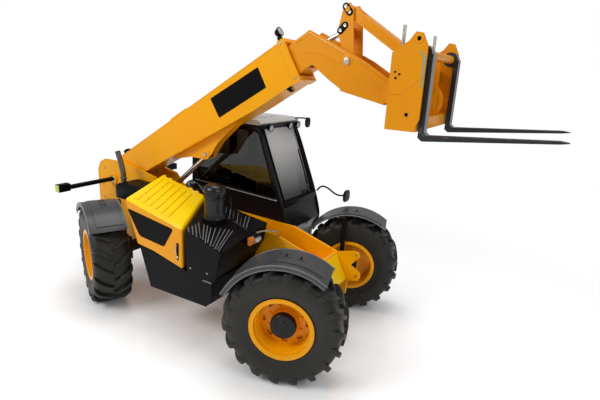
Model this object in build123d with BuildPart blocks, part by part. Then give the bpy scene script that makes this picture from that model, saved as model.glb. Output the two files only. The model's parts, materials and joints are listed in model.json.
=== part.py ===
from build123d import *
from math import atan2, cos, degrees, pi, radians, sin
import os

os.makedirs("parts", exist_ok=True)

# A telehandler, millimetres. X points forward, Y to the machine's left, Z up.
# Places along the machine are measured from the middle of the wheelbase, on the ground;
# the model's origin is below the middle of the whole machine, so that point lies behind it.
rear_end_x = -2500.0
fork_tip_x = 3585.0
mid_x = -(rear_end_x + fork_tip_x) / 2

# Wheels and steering. The wheels stand turned for a left turn on both axles.
wheel_base = 2750.0
axle_height = 640.0
tyre_radius = 640.0
tyre_half_width = 230.0
rim_seat_radius = 305.0
rim_flange_radius = 335.0
kingpin_y = 750.0
wheel_offset = 185.0
front_steer = 18.0
rear_steer = -26.0

# Boom: pivot, resting angle, section along the boom (s) and across it (t), from the pivot.
pivot_x, pivot_z = -2120.0, 1420.0
boom_angle = 31.0
boom_half_width = 165.0
boom_wall = 12.0
outer_front_s = 3510.0
inner_front_s = 3625.0
inner_half_width = 135.0
head_half_width = 150.0
lever_pivot = (4061.0, -331.0)
lever_top = (4270.0, 116.0)
tilt_eye = (4145.0, -12.0)
tilt_base = (3100.0, 50.0)
carriage_pivot = (4309.0, -828.0)

# Main frame and the lift ram's two pins.
frame_half_width = 210.0
frame_wall = 25.0
lift_base = (-1950.0, 700.0)
tie_down = (1545.0, 690.0)
lift_eye_on_boom = (1750.0, -370.0)

# Carriage and forks.
link_pin = (2130.0, 3300.0)
fork_shaft = (2405.0, 3300.0)
fork_shaft_radius = 38.0
fork_y = 490.0
carriage_half_width = 595.0

# Cab and engine side.
cab_right_y, cab_left_y = 225.0, 1100.0
cab_wall = 50.0
pod_inner_y, pod_outer_y = -300.0, -1090.0

pin_fit = 0.05
up = Vector(0, 0, 1)


def side_plane(y=0.0):
    # Drawn from the machine's right: x forward, y up, normal to the right.
    return Plane(origin=(mid_x, y, 0), x_dir=(1, 0, 0), z_dir=(0, -1, 0))


def level_plane(z=0.0):
    return Plane(origin=(mid_x, 0, z), x_dir=(1, 0, 0), z_dir=(0, 0, 1))


def boom_plane(y=0.0):
    # x along the boom from its pivot, y across it, normal to the right.
    turn = radians(boom_angle)
    return Plane(origin=(mid_x + pivot_x, y, pivot_z), x_dir=(cos(turn), 0, sin(turn)), z_dir=(0, -1, 0))


def on_boom(s, t):
    # A point of the boom's section as forward and upward places of the machine.
    turn = radians(boom_angle)
    return (pivot_x + s * cos(turn) - t * sin(turn), pivot_z + s * sin(turn) + t * cos(turn))


def plate(plane, points, thickness, mode=Mode.ADD):
    with BuildSketch(plane) as outline:
        Polygon(*points, align=None)
    extrude(outline.sketch, amount=thickness, mode=mode)


def slab(points, y_from, y_to, plane_at=side_plane, mode=Mode.ADD):
    # An outline seen from the side, filling the stretch from y_from to y_to.
    plate(plane_at(y_to), points, y_to - y_from, mode)


def disc(centre, radius, y_from, y_to, plane_at=side_plane, mode=Mode.ADD):
    with BuildSketch(plane_at(y_to)) as outline:
        with Locations(centre):
            Circle(radius)
    extrude(outline.sketch, amount=y_to - y_from, mode=mode)


def block(x_span, y_span, z_span, mode=Mode.ADD):
    with BuildSketch(level_plane(z_span[0])) as outline:
        with Locations(((x_span[0] + x_span[1]) / 2, (y_span[0] + y_span[1]) / 2)):
            Rectangle(abs(x_span[1] - x_span[0]), abs(y_span[1] - y_span[0]))
    extrude(outline.sketch, amount=z_span[1] - z_span[0], mode=mode)


def arc_band(radius, depth, angle_from, angle_to):
    # Draws a band of a ring, from its outer radius inward, in the current sketch.
    with BuildLine() as edges:
        outer = CenterArc((0, 0), radius, angle_from, angle_to - angle_from)
        inner = CenterArc((0, 0), radius - depth, angle_from, angle_to - angle_from)
        Line(outer @ 0, inner @ 0)
        Line(outer @ 1, inner @ 1)
    make_face(edges.edges())


def round_bar(start, end, radius, mode=Mode.ADD):
    # start and end are (x, y, z) from the middle of the wheelbase.
    first = Vector(mid_x + start[0], start[1], start[2])
    last = Vector(mid_x + end[0], end[1], end[2])
    with BuildSketch(Plane(origin=first, z_dir=last - first)) as outline:
        Circle(radius)
    extrude(outline.sketch, amount=(last - first).length, mode=mode)


def save(piece, name):
    piece.part.label = name
    export_step(piece.part, f"parts/{name}.step")


def ram(name, base, eye, y, barrel_radius, rod_radius, barrel_length, overlap, eye_width, pin_radius):
    # A hydraulic ram in a side plane: the barrel's eye turns on the base pin, the rod slides in it.
    run = Vector(eye[0] - base[0], eye[1] - base[1])
    way = run.normalized()
    eye_radius = pin_radius + 22

    def place(distance):
        return (base[0] + way.X * distance, y, base[1] + way.Y * distance)

    with BuildPart() as barrel:
        round_bar(place(0), place(barrel_length), barrel_radius)
        disc(base, eye_radius, y - eye_width / 2, y + eye_width / 2)
        for side in (1, -1):
            block_from = y + side * eye_width / 2
            disc(base, barrel_radius + 30, block_from, block_from + side * 60, mode=Mode.SUBTRACT)
        disc(base, pin_radius + pin_fit, y - eye_width, y + eye_width, mode=Mode.SUBTRACT)
        round_bar(place(eye_radius + 20), place(barrel_length + 5), rod_radius + pin_fit, mode=Mode.SUBTRACT)
    save(barrel, name + "_barrel")

    with BuildPart() as rod:
        round_bar(place(barrel_length - overlap), place(run.length), rod_radius)
        disc(eye, eye_radius, y - eye_width / 2, y + eye_width / 2)
    save(rod, name + "_rod")


# ---- main frame -------------------------------------------------------------------------
# Side plates: rear tower, trough, and the nose over the front axle.
frame_outline = (
    (-2400, 520), (-2400, 800), (-2460, 800), (-2460, 1520), (-2400, 1640), (-2290, 1700), (-1880, 1710), (-1230, 1590),
    (-900, 1260), (800, 1215), (1430, 1030), (1600, 720), (1590, 520), (1450, 440),
    (-2200, 440),
)
nose_floor = ((820, 865), (1392, 905), (1392, 923), (820, 883))
nose_face = (
    (1392, 905), (1410, 905), (1410, 1003), (1425, 1003), (1580, 708), (1594, 716), (1434, 1022), (1392, 1022),
)
front_axle_x = wheel_base / 2
rear_axle_x = -wheel_base / 2

with BuildPart() as chassis_frame:
    for side in (1, -1):
        inner = side * (frame_half_width - frame_wall)
        slab(frame_outline, min(inner, side * frame_half_width), max(inner, side * frame_half_width))
        # Pivot and ram bosses on the outside of each tower.
        outside = sorted((side * frame_half_width, side * (frame_half_width + 14)))
        disc((pivot_x, pivot_z), 95, *outside)
        disc(lift_base, 60, *outside)
    for axle_x in (front_axle_x, rear_axle_x):
        slab(
            ((axle_x - 115, 400), (axle_x + 115, 400), (axle_x + 115, 760), (axle_x - 115, 760)),
            -frame_half_width - 1, frame_half_width + 1, mode=Mode.SUBTRACT,
        )
    # The left plate reaches further forward, to a lifting lug above and a round one below.
    slab(
        ((1425, 900), (1430, 1030), (1650, 1092), (1720, 1082), (1735, 1030), (1625, 905),
         (1745, 835), (1760, 780), (1735, 725), (1600, 700), (1500, 700)),
        frame_half_width - frame_wall, frame_half_width,
    )
    for lug_hole, hole_radius in (((1690, 1045), 17), ((1702, 780), 22)):
        disc(lug_hole, hole_radius, frame_half_width - frame_wall - 5, frame_half_width + 5, mode=Mode.SUBTRACT)
    trough = (-frame_half_width + frame_wall, frame_half_width - frame_wall)
    slab(nose_floor, *trough)
    slab(nose_face, *trough)
    block((-1150, 1150), trough, (440, 456))
    block((800, 820), trough, (456, 883))
    block((-2460, -2435), trough, (800, 1300))
    block((-2425, -2400), trough, (520, 800))
    disc(lift_base, 62, *trough, mode=Mode.SUBTRACT)
    # Holes through the nose plates for lashing the machine down.
    disc(tie_down, 16, -frame_half_width - 5, frame_half_width + 5, mode=Mode.SUBTRACT)
    # Pins of the boom and the lift ram.
    disc((pivot_x, pivot_z), 45, *trough)
    disc(lift_base, 30, *trough)
    block((rear_end_x, -2420), (-60, 60), (590, 640))
    with BuildSketch(level_plane(580)) as hitch_hole:
        with Locations((rear_end_x + 36, 0)):
            Circle(16)
    extrude(hitch_hole.sketch, amount=70, mode=Mode.SUBTRACT)
    # Arms that carry the cab and the engine.
    for arm_x in (-330, 400):
        block((arm_x - 50, arm_x + 50), (pod_inner_y, -frame_half_width), (560, 640))
        block((arm_x - 50, arm_x + 50), (frame_half_width, 330), (560, 640))
save(chassis_frame, "chassis_frame")

# Cast weights bolted to both sides of the tower's foot.
with BuildPart() as counterweight:
    for side in (1, -1):
        slab(((-2390, 560), (-2390, 1000), (-2215, 1000), (-2215, 640), (-2260, 560)),
             *sorted((side * frame_half_width, side * 470)))
save(counterweight, "counterweight")

# ---- axles ------------------------------------------------------------------------------
yoke_radius = 62.0
yoke_gap = 120.0
with BuildPart() as axles:
    for axle_x in (front_axle_x, rear_axle_x):
        centre = (axle_x, axle_height)
        disc(centre, 80, -kingpin_y + 120, kingpin_y - 120)
        disc(centre, 105, -120, 120)
        for side in (1, -1):
            # Yoke: two arms that hold the kingpins above and below.
            yoke_x = (axle_x - 60, axle_x + 60)
            post = sorted((side * (kingpin_y - 175), side * (kingpin_y - 120)))
            arm = sorted((side * (kingpin_y - 175), side * kingpin_y))
            block(yoke_x, post, (axle_height - yoke_gap - 40, axle_height + yoke_gap + 40))
            for low in (axle_height + yoke_gap, axle_height - yoke_gap - 40):
                block(yoke_x, arm, (low, low + 40))
                with BuildSketch(level_plane(low)) as lug:
                    with Locations((axle_x, side * kingpin_y)):
                        Circle(yoke_radius)
                extrude(lug.sketch, amount=40)
                with BuildSketch(level_plane(low - 5)) as bore:
                    with Locations((axle_x, side * kingpin_y)):
                        Circle(25 + pin_fit)
                extrude(bore.sketch, amount=50, mode=Mode.SUBTRACT)
save(axles, "axles")

# ---- wheels, knuckles and fenders ---------------------------------------------------------
# Profiles as (across, radius), across measured outward from the wheel's middle.
rim_profile = (
    (-195, 335), (-195, 305), (-150, 305), (150, 305), (195, 305), (195, 335), (205, 335), (205, 292),
    (150, 286), (20, 280), (20, 150), (-4, 150), (-4, 280), (-150, 286), (-205, 292), (-205, 335),
)
hub_profile = (
    (-66, 0), (-66, 128), (-4, 150), (20, 150), (70, 138), (80, 118), (128, 112), (140, 90), (140, 0),
)
corners = (
    # name, axle x, side, steer angle, fender from, fender to (degrees from forward, over the top)
    ("front_left", front_axle_x, 1, front_steer, 52, 154),
    ("front_right", front_axle_x, -1, front_steer, 52, 154),
    ("rear_left", rear_axle_x, 1, rear_steer, 42, 138),
    ("rear_right", rear_axle_x, -1, rear_steer, 42, 138),
)
fender_radius = 700.0
fender_wall = 9.0
arm_back = -105.0

# Tyre: flat facets around its own axis, with lugs on both walls, half a pitch apart. A lug leans
# from near the middle line to the shoulder and drops there; its flat top's ends touch the ground.
lug_count = 18
lug_pitch = 2 * pi / lug_count
lug_half_run = 84.0
lug_flat = (axle_height - lug_half_run * sin(lug_pitch / 2)) / cos(lug_pitch / 2)
lug_stations = (
    # across, around from, around to, height, then the same for the foot on the carcass
    (12, 40, 84, lug_flat, 12, 32, 92, 597),
    (190, -84, -22, lug_flat, 205, -102, -24, 597),
    (226, -110, -48, lug_flat - 38, 226, -114, -44, 560),
)
# Rings of one corner per lug, down the side wall and into the hollow: (across, radius).
bead_corner = 305.3 / cos(pi / lug_count)
wall_rings = ((228, 470), (183, bead_corner), (170, bead_corner), (190, 560))
wall_turn = radians(-8)


def wheel_point(turn, radius, across):
    return (radius * cos(turn), radius * sin(turn), across)


def lug_edges(turn, wall):
    # The lug's top and foot, as a left and a right corner at each station.
    tops, feet = [], []
    for across, left, right, height, foot_across, foot_left, foot_right, foot_radius in lug_stations:
        tops.append([
            (height * cos(turn) - around * sin(turn), height * sin(turn) + around * cos(turn), wall * across)
            for around in (left, right)
        ])
        feet.append([
            wheel_point(turn + atan2(around, foot_radius), foot_radius, wall * foot_across)
            for around in (foot_left, foot_right)
        ])
    return tops, feet


def tyre_solid():
    facets = []

    def quad(a, b, c, d):
        facets.extend(((a, b, c), (a, c, d)))

    middle, hollow = {}, {}
    for wall in (1, -1):
        turns = [(count + (1 + wall) / 4) * lug_pitch - pi / 2 for count in range(lug_count)]
        lugs = [lug_edges(turn, wall) for turn in turns]
        rings = [
            [wheel_point(turn + wall_turn, radius, wall * across) for turn in turns] for across, radius in wall_rings
        ]
        for count, (tops, feet) in enumerate(lugs):
            after = (count + 1) % lug_count
            next_feet = lugs[after][1]
            quad(*tops[0], feet[0][1], feet[0][0])
            quad(*tops[2], feet[2][1], feet[2][0])
            for near, far in ((0, 1), (1, 2)):
                quad(*tops[near], tops[far][1], tops[far][0])
                for edge in (0, 1):
                    quad(tops[near][edge], tops[far][edge], feet[far][edge], feet[near][edge])
                quad(feet[near][1], next_feet[near][0], next_feet[far][0], feet[far][1])
            facets.append((*feet[2], rings[0][count]))
            quad(feet[2][1], next_feet[2][0], rings[0][after], rings[0][count])
            for outer_ring, inner_ring in zip(rings, rings[1:]):
                quad(outer_ring[count], outer_ring[after], inner_ring[after], inner_ring[count])
        middle[wall] = [corner for tops, feet in lugs for corner in feet[0]]
        hollow[wall] = rings[-1]
    around = 2 * lug_count
    for count in range(around):
        quad(middle[1][count], middle[1][(count + 1) % around],
             middle[-1][(count + 2) % around], middle[-1][(count + 1) % around])
    for count in range(lug_count):
        after = (count + 1) % lug_count
        quad(hollow[1][count], hollow[-1][count], hollow[-1][after], hollow[1][after])
    return Solid(Shell([Face(Wire.make_polygon(facet)) for facet in facets]))


tyre_forms = {1: tyre_solid()}
tyre_forms[-1] = tyre_forms[1].mirror(Plane.YZ)

for corner, axle_x, side, steer, fender_from, fender_to in corners:
    turn = radians(steer)
    kingpin = Vector(mid_x + axle_x, side * kingpin_y, axle_height)
    forward = Vector(cos(turn), sin(turn), 0)
    outward = Vector(-sin(turn), cos(turn), 0) * side
    hub_centre = kingpin + outward * wheel_offset
    spin_axis = Axis(hub_centre, outward)
    section = Plane(origin=hub_centre, x_dir=outward, z_dir=outward.cross(up))

    def wheel_plane(across):
        # In the wheel's plane: x along the wheel (forward on the right, rearward on the left), y up.
        return Plane(origin=hub_centre + outward * across, x_dir=forward * -side, z_dir=outward)

    with BuildPart() as tyre:
        add(tyre_forms[side].moved(wheel_plane(0).location))
    save(tyre, "tyre_" + corner)

    with BuildPart() as rim:
        with BuildSketch(section):
            Polygon(*rim_profile, align=None)
            Polygon(*hub_profile, align=None)
        revolve(axis=spin_axis)
        with BuildSketch(wheel_plane(-70)):
            Circle(50 + pin_fit)
        extrude(amount=80, mode=Mode.SUBTRACT)
        # Hand holes through the disc, and wheel nuts between them and the hub.
        with BuildSketch(wheel_plane(-10)):
            with PolarLocations(228, 8):
                Rectangle(34, 62)
        extrude(amount=40, mode=Mode.SUBTRACT)
        with BuildSketch(wheel_plane(15)):
            with PolarLocations(178, 8, start_angle=22.5):
                RegularPolygon(17, 6)
        extrude(amount=29)
    save(rim, "rim_" + corner)

    with BuildPart() as knuckle:
        with BuildSketch(Plane(origin=kingpin - up * (yoke_gap - 5), z_dir=(0, 0, 1))):
            Circle(58)
        extrude(amount=2 * yoke_gap - 10)
        with BuildSketch(Plane(origin=kingpin - up * (yoke_gap + 30), z_dir=(0, 0, 1))):
            Circle(25)
        extrude(amount=2 * yoke_gap + 60)
        with BuildSketch(wheel_plane(-wheel_offset)):
            Circle(100)
        extrude(amount=wheel_offset - 72)
        with BuildSketch(wheel_plane(-wheel_offset)):
            Circle(50)
        extrude(amount=wheel_offset - 15)
        # A post beside the kingpin, bent inward past the rim, then a strip up the inside of the tyre
        # and a curved foot above it: they carry the fender.
        with BuildSketch(Plane(origin=kingpin + forward * arm_back - outward * 10, z_dir=(0, 0, 1))):
            Circle(18)
        extrude(amount=215)
        with BuildSketch(Plane(origin=kingpin + forward * arm_back - outward * 76 + up * 200, z_dir=outward)):
            Circle(15)
        extrude(amount=66)
        with BuildSketch(wheel_plane(-wheel_offset - 76)):
            with Locations((arm_back * -side, 435)):
                Rectangle(60, 490)
        extrude(amount=10)
        with BuildSketch(wheel_plane(-wheel_offset - 76)):
            foot_from = 86 - 12 * side
            arc_band(fender_radius - fender_wall - 0.3, 14, foot_from, foot_from + 8)
        extrude(amount=150)
    save(knuckle, "knuckle_" + corner)

    with BuildPart() as fender:
        start = fender_from if side < 0 else 180 - fender_to
        with BuildSketch(wheel_plane(-205)):
            arc_band(fender_radius, fender_wall, start, start + fender_to - fender_from)
        extrude(amount=440)
        with BuildSketch(wheel_plane(225)):
            arc_band(fender_radius, 45, start, start + fender_to - fender_from)
        extrude(amount=10)
        # A raised middle panel with two pads, drawn down to the fender's top.
        with BuildSketch(wheel_plane(-150)):
            arc_band(fender_radius + 10, 14, start + 6, start + fender_to - fender_from - 6)
        extrude(amount=300)
        for pad_from in (76, 88):
            with BuildSketch(wheel_plane(-40)):
                arc_band(fender_radius + 16, 12, pad_from, pad_from + 7)
            extrude(amount=80)
    save(fender, "fender_" + corner)

# ---- engine side --------------------------------------------------------------------------
with BuildPart() as engine_block:
    block((-370, 380), (-860, -400), (600, 880))
    plate(level_plane(600), ((-370, -400), (-240, -400), (-25, -860), (-370, -860)), 700)
save(engine_block, "engine_block")

hood_hinge = (-760.0, pod_inner_y + 16, 1624.0)
hinge_line = Plane(
    origin=(mid_x + hood_hinge[0], hood_hinge[1], hood_hinge[2]), x_dir=(0, -1, 0), z_dir=(-1, 0, 0.2),
)
hinge_starts = (-420.0, 60.0)


def hinge_barrel(start, length, radius, mode=Mode.ADD):
    # A round piece on the hood's hinge line; start runs rearward from the line's origin.
    with BuildSketch(hinge_line.offset(start)) as outline:
        Circle(radius)
    extrude(outline.sketch, amount=length, mode=mode)


# Engine side: a lower pan, and ahead of the hood a deck that falls forward and outward.
pan_outline = (
    (-391, 528), (479, 544), (528, 655), (579, 690), (579, 853), (612, 896), (202, 892), (-560, 1030),
)
pod_side_y = pod_outer_y + 12
pod_profiles = (
    # The same corners on the outer side and on the boom's side, outside and inside the 10 mm wall.
    ((204, 884), (184, 1366), (420, 1301), (580, 1250), (686, 1228), (655, 1103), (636, 990), (604, 884)),
    ((-180, 884), (-192, 1498), (123, 1470), (426, 1417), (735, 1378), (690, 1150), (590, 990), (560, 884)),
)
pod_inside = (
    ((160, 860), (140, 1369), (417, 1290), (577, 1240), (675, 1218), (645, 1103), (626, 990), (588, 860)),
    ((-230, 860), (-240, 1492), (122, 1460), (424, 1407), (723, 1368), (680, 1150), (580, 990), (546, 860)),
)
grille_ribs = (
    # inner end, outer end
    ((72, -800), (392, -1068)), ((212, -800), (427, -1068)), ((312, -800), (492, -1068)),
    ((404, -800), (560, -1068)), ((496, -800), (622, -1068)), ((578, -800), (668, -1068)),
    ((40, -330), (150, -500)), ((160, -330), (280, -500)), ((280, -330), (410, -505)),
    ((400, -330), (530, -530)), ((510, -330), (630, -560)),
)
intake_place = (240, -655)
intake_foot = 1436.0


def pod_body(profiles, y_ends, lift=0.0, mode=Mode.ADD):
    ends = []
    for profile, end_y in zip(profiles, y_ends):
        with BuildSketch(side_plane(end_y)) as end:
            Polygon(*((x, z + lift) for x, z in profile), align=None)
        ends.append(end.sketch)
    loft(ends, ruled=True, mode=mode)


with BuildPart() as engine_housing:
    pod_body(pod_profiles, (pod_side_y, pod_inner_y))
    with BuildPart(mode=Mode.PRIVATE) as ribs:
        pod_body(pod_profiles, (pod_side_y, pod_inner_y), lift=14)
        with BuildSketch(level_plane(1100)):
            for inner_end, outer_end in grille_ribs:
                run = Vector(*outer_end) - Vector(*inner_end)
                with Locations((Vector(*inner_end) + run / 2)):
                    Rectangle(run.length, 16, rotation=degrees(atan2(run.Y, run.X)))
        extrude(amount=500, mode=Mode.INTERSECT)
    add(ribs.part)
    round_bar((*intake_place, 1330), (*intake_place, intake_foot), 142)
    pod_body(pod_inside, (pod_side_y + 10, pod_inner_y - 10), mode=Mode.SUBTRACT)
    with BuildPart(mode=Mode.PRIVATE) as pan:
        slab(pan_outline, pod_side_y, pod_inner_y)
        open_top = pan.faces().filter_by(lambda face: face.normal_at().Z > 0.5 and face.center().Z > 880)
        offset(amount=-10, openings=open_top)
    add(pan.part)
    # A bracket for the headlamps, and a step block at the foot of the front corner.
    block((650, 727), (-690, -530), (1232, 1252))
    block((440, 579), (pod_outer_y - 6, pod_side_y + 2), (640, 850))
    # A wall on the boom's side under the hood.
    slab(((-560, 1020), (-735, 1514), (-960, 1514), (-960, 1625), (-250, 1480), (-250, 960)), -325, -315)
    slab(((-204, 1000), (-560, 1000), (-560, 1040), (-204, 1010)), -325, -305)
    # Walls under the hood's front and rear edges, and a deck behind the engine.
    across = Vector(-0.48, 1, 0).normalized()
    front_wall = Plane(origin=(mid_x + 121, pod_outer_y, 0), x_dir=across, z_dir=(1, 0.48, 0))
    plate(front_wall, ((60, 900), (60, 1352), (860, 1486), (860, 900)), 8)
    rear_wall = ((-584, 1046), (-751, 1494), (-743, 1494), (-574, 1046), (-548, 1000), (-560, 1000))
    slab(rear_wall, pod_outer_y + 45, pod_inner_y - 15)
    plate(level_plane(1486), ((-745, -1045), (-745, -315), (-960, -315)), 8)
    for start in hinge_starts:
        post_x = hood_hinge[0] - (start + 80) * 0.98
        post_top = hood_hinge[2] + (start + 80) * 0.196
        block((post_x - 22, post_x + 22), (-325, -272), (post_top - 60, post_top - 20))
        block((post_x - 22, post_x + 22), (-296, -272), (post_top - 21, post_top))
        hinge_barrel(start + 55, 50, 12)
        hinge_barrel(start + 2, 156, 6)
save(engine_housing, "engine_housing")

with BuildPart() as hood:
    hood_outline = (
        (-1100, 1800), (-1100, 1500), (-765, 1500), (-598, 1046), (190, 905), (160, 1366), (160, 1800),
    )
    slab(hood_outline, pod_outer_y, pod_inner_y)
    # The top falls forward and outward, and the ends run slantwise across the machine.
    top = Plane(origin=(mid_x - 760, pod_outer_y, 1567), z_dir=(0.2, -0.08, 1))
    rear = Plane(origin=(mid_x - 765, pod_outer_y, 0), z_dir=(-1, -0.3, 0))
    front = Plane(origin=(mid_x + 155, pod_outer_y, 0), z_dir=(1, 0.48, 0))
    split(bisect_by=top, keep=Keep.BOTTOM)
    split(bisect_by=rear, keep=Keep.BOTTOM)
    split(bisect_by=front, keep=Keep.BOTTOM)
    # Open below and toward the boom; the ends keep only a return flange.
    open_sides = hood.faces().filter_by(
        lambda face: face.normal_at().Y > 0.99 or (face.normal_at().Z < -0.9 and face.center().Z < 1200)
    )
    offset(amount=-8, openings=open_sides)
    with BuildPart(mode=Mode.PRIVATE) as inside:
        slab(((-1300, 2000), (-1300, 700), (500, 700), (500, 2000)), pod_outer_y + 38, pod_inner_y + 5)
        split(bisect_by=top.offset(-38), keep=Keep.BOTTOM)
    add(inside.part, mode=Mode.SUBTRACT)
    # Pressed ribs across the top, behind a smooth front band.
    top_face = Plane(origin=top.origin, x_dir=(1, 0, -0.2), z_dir=(0.2, -0.08, 1))
    for rib in range(6):
        rib_x = 75 + 108 * rib
        plate(top_face, ((rib_x, 70), (rib_x + 40, 70), (rib_x - 220, 720), (rib_x - 260, 720)), 7)
    for start in hinge_starts:
        hinge_barrel(start, 50, 12)
        hinge_barrel(start + 110, 50, 12)
        for tab_start in (start, start + 110):
            plate(hinge_line.offset(tab_start), ((0, -8), (30, -10), (30, 0), (0, 8)), 50)
        hinge_barrel(start - 5, 170, 6 + pin_fit, mode=Mode.SUBTRACT)
save(hood, "hood")

with BuildPart() as rear_cover:
    block((-1640, -1080), (-560, -frame_half_width - 16), (1290, 1520))
save(rear_cover, "rear_cover")

with BuildPart() as exhaust_pipe:
    with BuildLine(side_plane(-470)) as run_of_pipe:
        FilletPolyline((-1560, 1520), (-1560, 1640), (-1600, 1790), (-1655, 1930), radius=120)
    with BuildSketch(Plane(origin=run_of_pipe.line @ 0, z_dir=run_of_pipe.line % 0)):
        Circle(36)
    sweep()
save(exhaust_pipe, "exhaust_pipe")

with BuildPart() as air_intake:
    round_bar((*intake_place, intake_foot), (*intake_place, 1770), 132)
    with BuildSketch(level_plane(1770)) as dome_foot:
        with Locations(intake_place):
            Circle(132)
    with BuildSketch(level_plane(1835)) as dome_top:
        with Locations(intake_place):
            Circle(95)
    loft([dome_foot.sketch, dome_top.sketch], ruled=True)
save(air_intake, "air_intake")

# ---- cab ----------------------------------------------------------------------------------
cab_outline = (
    (-600, 720), (590, 720), (590, 940), (690, 1110), (600, 1440), (205, 2420), (-930, 2420), (-950, 1520),
    (-600, 1400),
)
door_hinge_x, door_hinge_y = -517.0, cab_left_y + 16
hinge_levels = (960, 1900)
with BuildPart() as cab_shell:
    slab(cab_outline, cab_right_y, cab_left_y)
    offset(amount=-cab_wall, openings=cab_shell.faces().sort_by(Axis.Z)[-1:])
    right_window = ((-860, 1560), (520, 1500), (200, 2360), (-850, 2360))
    slab(right_window, cab_right_y - 5, cab_right_y + cab_wall + 5, mode=Mode.SUBTRACT)
    slab(((-520, 790), (530, 790), (530, 950), (620, 1110), (530, 1440), (160, 2360), (-520, 2360)),
         cab_left_y - cab_wall - 5, cab_left_y + 5, mode=Mode.SUBTRACT)
    slab(((-860, 1590), (-590, 1590), (-590, 2360), (-850, 2360)),
         cab_left_y - cab_wall - 5, cab_left_y + 5, mode=Mode.SUBTRACT)
    # Windscreen and rear window.
    block((120, 800), (cab_right_y + 60, cab_left_y - 60), (1480, 2370), mode=Mode.SUBTRACT)
    block((-1000, -850), (cab_right_y + 60, cab_left_y - 60), (1600, 2350), mode=Mode.SUBTRACT)
    for low in hinge_levels:
        block((-566, door_hinge_x), (cab_left_y, door_hinge_y - 4), (low, low + 40))
        for part_of_pin in ((low, 40, 14), (low, 140, 8)):
            with BuildSketch(level_plane(part_of_pin[0])):
                with Locations((door_hinge_x, door_hinge_y)):
                    Circle(part_of_pin[2])
            extrude(amount=part_of_pin[1])
save(cab_shell, "cab_shell")

with BuildPart() as cab_roof:
    slab(((-960, 2421), (230, 2421), (260, 2445), (180, 2490), (-900, 2490), (-960, 2460)),
         cab_right_y - 15, cab_left_y + 20)
save(cab_roof, "cab_roof")

with BuildPart() as cab_glass:
    slab(((-860, 1560), (520, 1500), (200, 2360), (-850, 2360)), cab_right_y + 20, cab_right_y + 28)
    slab(((-860, 1590), (-590, 1590), (-590, 2360), (-850, 2360)), cab_left_y - 28, cab_left_y - 20)
    slab(((575, 1480), (216, 2370), (206, 2370), (565, 1480)), cab_right_y + 60, cab_left_y - 60)
    slab(((-915, 1600), (-905, 1600), (-905, 2350), (-915, 2350)), cab_right_y + 60, cab_left_y - 60)
save(cab_glass, "cab_glass")

door_outline = ((-513, 797), (523, 797), (523, 952), (612, 1110), (523, 1437), (155, 2353), (-513, 2353))
upper_pane = ((-450, 1500), (430, 1500), (110, 2300), (-450, 2300))
lower_pane = ((-450, 860), (460, 860), (460, 970), (545, 1115), (440, 1400), (-450, 1400))
with BuildPart() as cab_door:
    slab(door_outline, cab_left_y - cab_wall + 5, cab_left_y)
    slab(upper_pane, cab_left_y - cab_wall - 5, cab_left_y + 5, mode=Mode.SUBTRACT)
    slab(lower_pane, cab_left_y - cab_wall - 5, cab_left_y + 5, mode=Mode.SUBTRACT)
    for low in hinge_levels:
        block((door_hinge_x, -470), (cab_left_y, door_hinge_y - 4), (low + 45, low + 105))
        with BuildSketch(level_plane(low + 45)):
            with Locations((door_hinge_x, door_hinge_y)):
                Circle(14)
        extrude(amount=60)
        with BuildSketch(level_plane(low + 40)):
            with Locations((door_hinge_x, door_hinge_y)):
                Circle(8 + pin_fit)
        extrude(amount=70, mode=Mode.SUBTRACT)
save(cab_door, "cab_door")

with BuildPart() as door_glass:
    slab(upper_pane, cab_left_y - 25, cab_left_y - 17)
    slab(lower_pane, cab_left_y - 25, cab_left_y - 17)
save(door_glass, "door_glass")

with BuildPart() as seat:
    block((-520, -60), (430, 900), (771, 1080))
    block((-500, -40), (440, 890), (1080, 1220))
    slab(((-500, 1220), (-360, 1220), (-480, 1880), (-600, 1880)), 460, 870)
save(seat, "seat")

with BuildPart() as steering_wheel:
    slab(((330, 771), (480, 771), (400, 1360), (340, 1360)), 560, 760)
    with BuildSketch(Plane(origin=(mid_x + 270, 660, 1420), z_dir=(-0.6, 0, 1))):
        Circle(190)
        Circle(165, mode=Mode.SUBTRACT)
        Rectangle(340, 30)
        Circle(45)
    extrude(amount=24)
    round_bar((370, 660, 1300), (270, 660, 1425), 24)
save(steering_wheel, "steering_wheel")

with BuildPart() as side_tank:
    block((-560, 560), (340, 1060), (430, 700))
    # Step for the driver, on two hangers.
    block((-160, 320), (1055, 1190), (440, 456))
    for hanger_x in (-160, 308):
        block((hanger_x, hanger_x + 12), (1055, 1190), (440, 640))
save(side_tank, "side_tank")

with BuildPart() as lamp_bars:
    for side in (1, -1):
        block((-2150, -2090), sorted((side * (frame_half_width + 16), side * 900)), (1400, 1450))
        block((-2200, -2110), sorted((side * 900, side * 1060)), (1375, 1475))
save(lamp_bars, "lamp_bars")

with BuildPart() as mirrors:
    round_bar((690, 1040, 1478), (900, 1160, 1440), 12)
    round_bar((900, 1160, 1440), (1040, 1200, 1460), 12)
    block((1040, 1070), (1110, 1290), (1300, 1600))
save(mirrors, "mirrors")

with BuildPart() as work_lamps:
    for lamp_y in (330, 800, 1000):
        round_bar((262, lamp_y, 2400), (330, lamp_y, 2390), 55)
save(work_lamps, "work_lamps")

with BuildPart() as headlamps:
    slab(((727, 1212), (790, 1218), (818, 1250), (814, 1300), (785, 1320), (727, 1320)), -700, -520)
save(headlamps, "headlamps")

with BuildPart() as service_strut:
    round_bar((880, -70, 921), (1340, -70, 952), 30)
save(service_strut, "service_strut")

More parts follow.
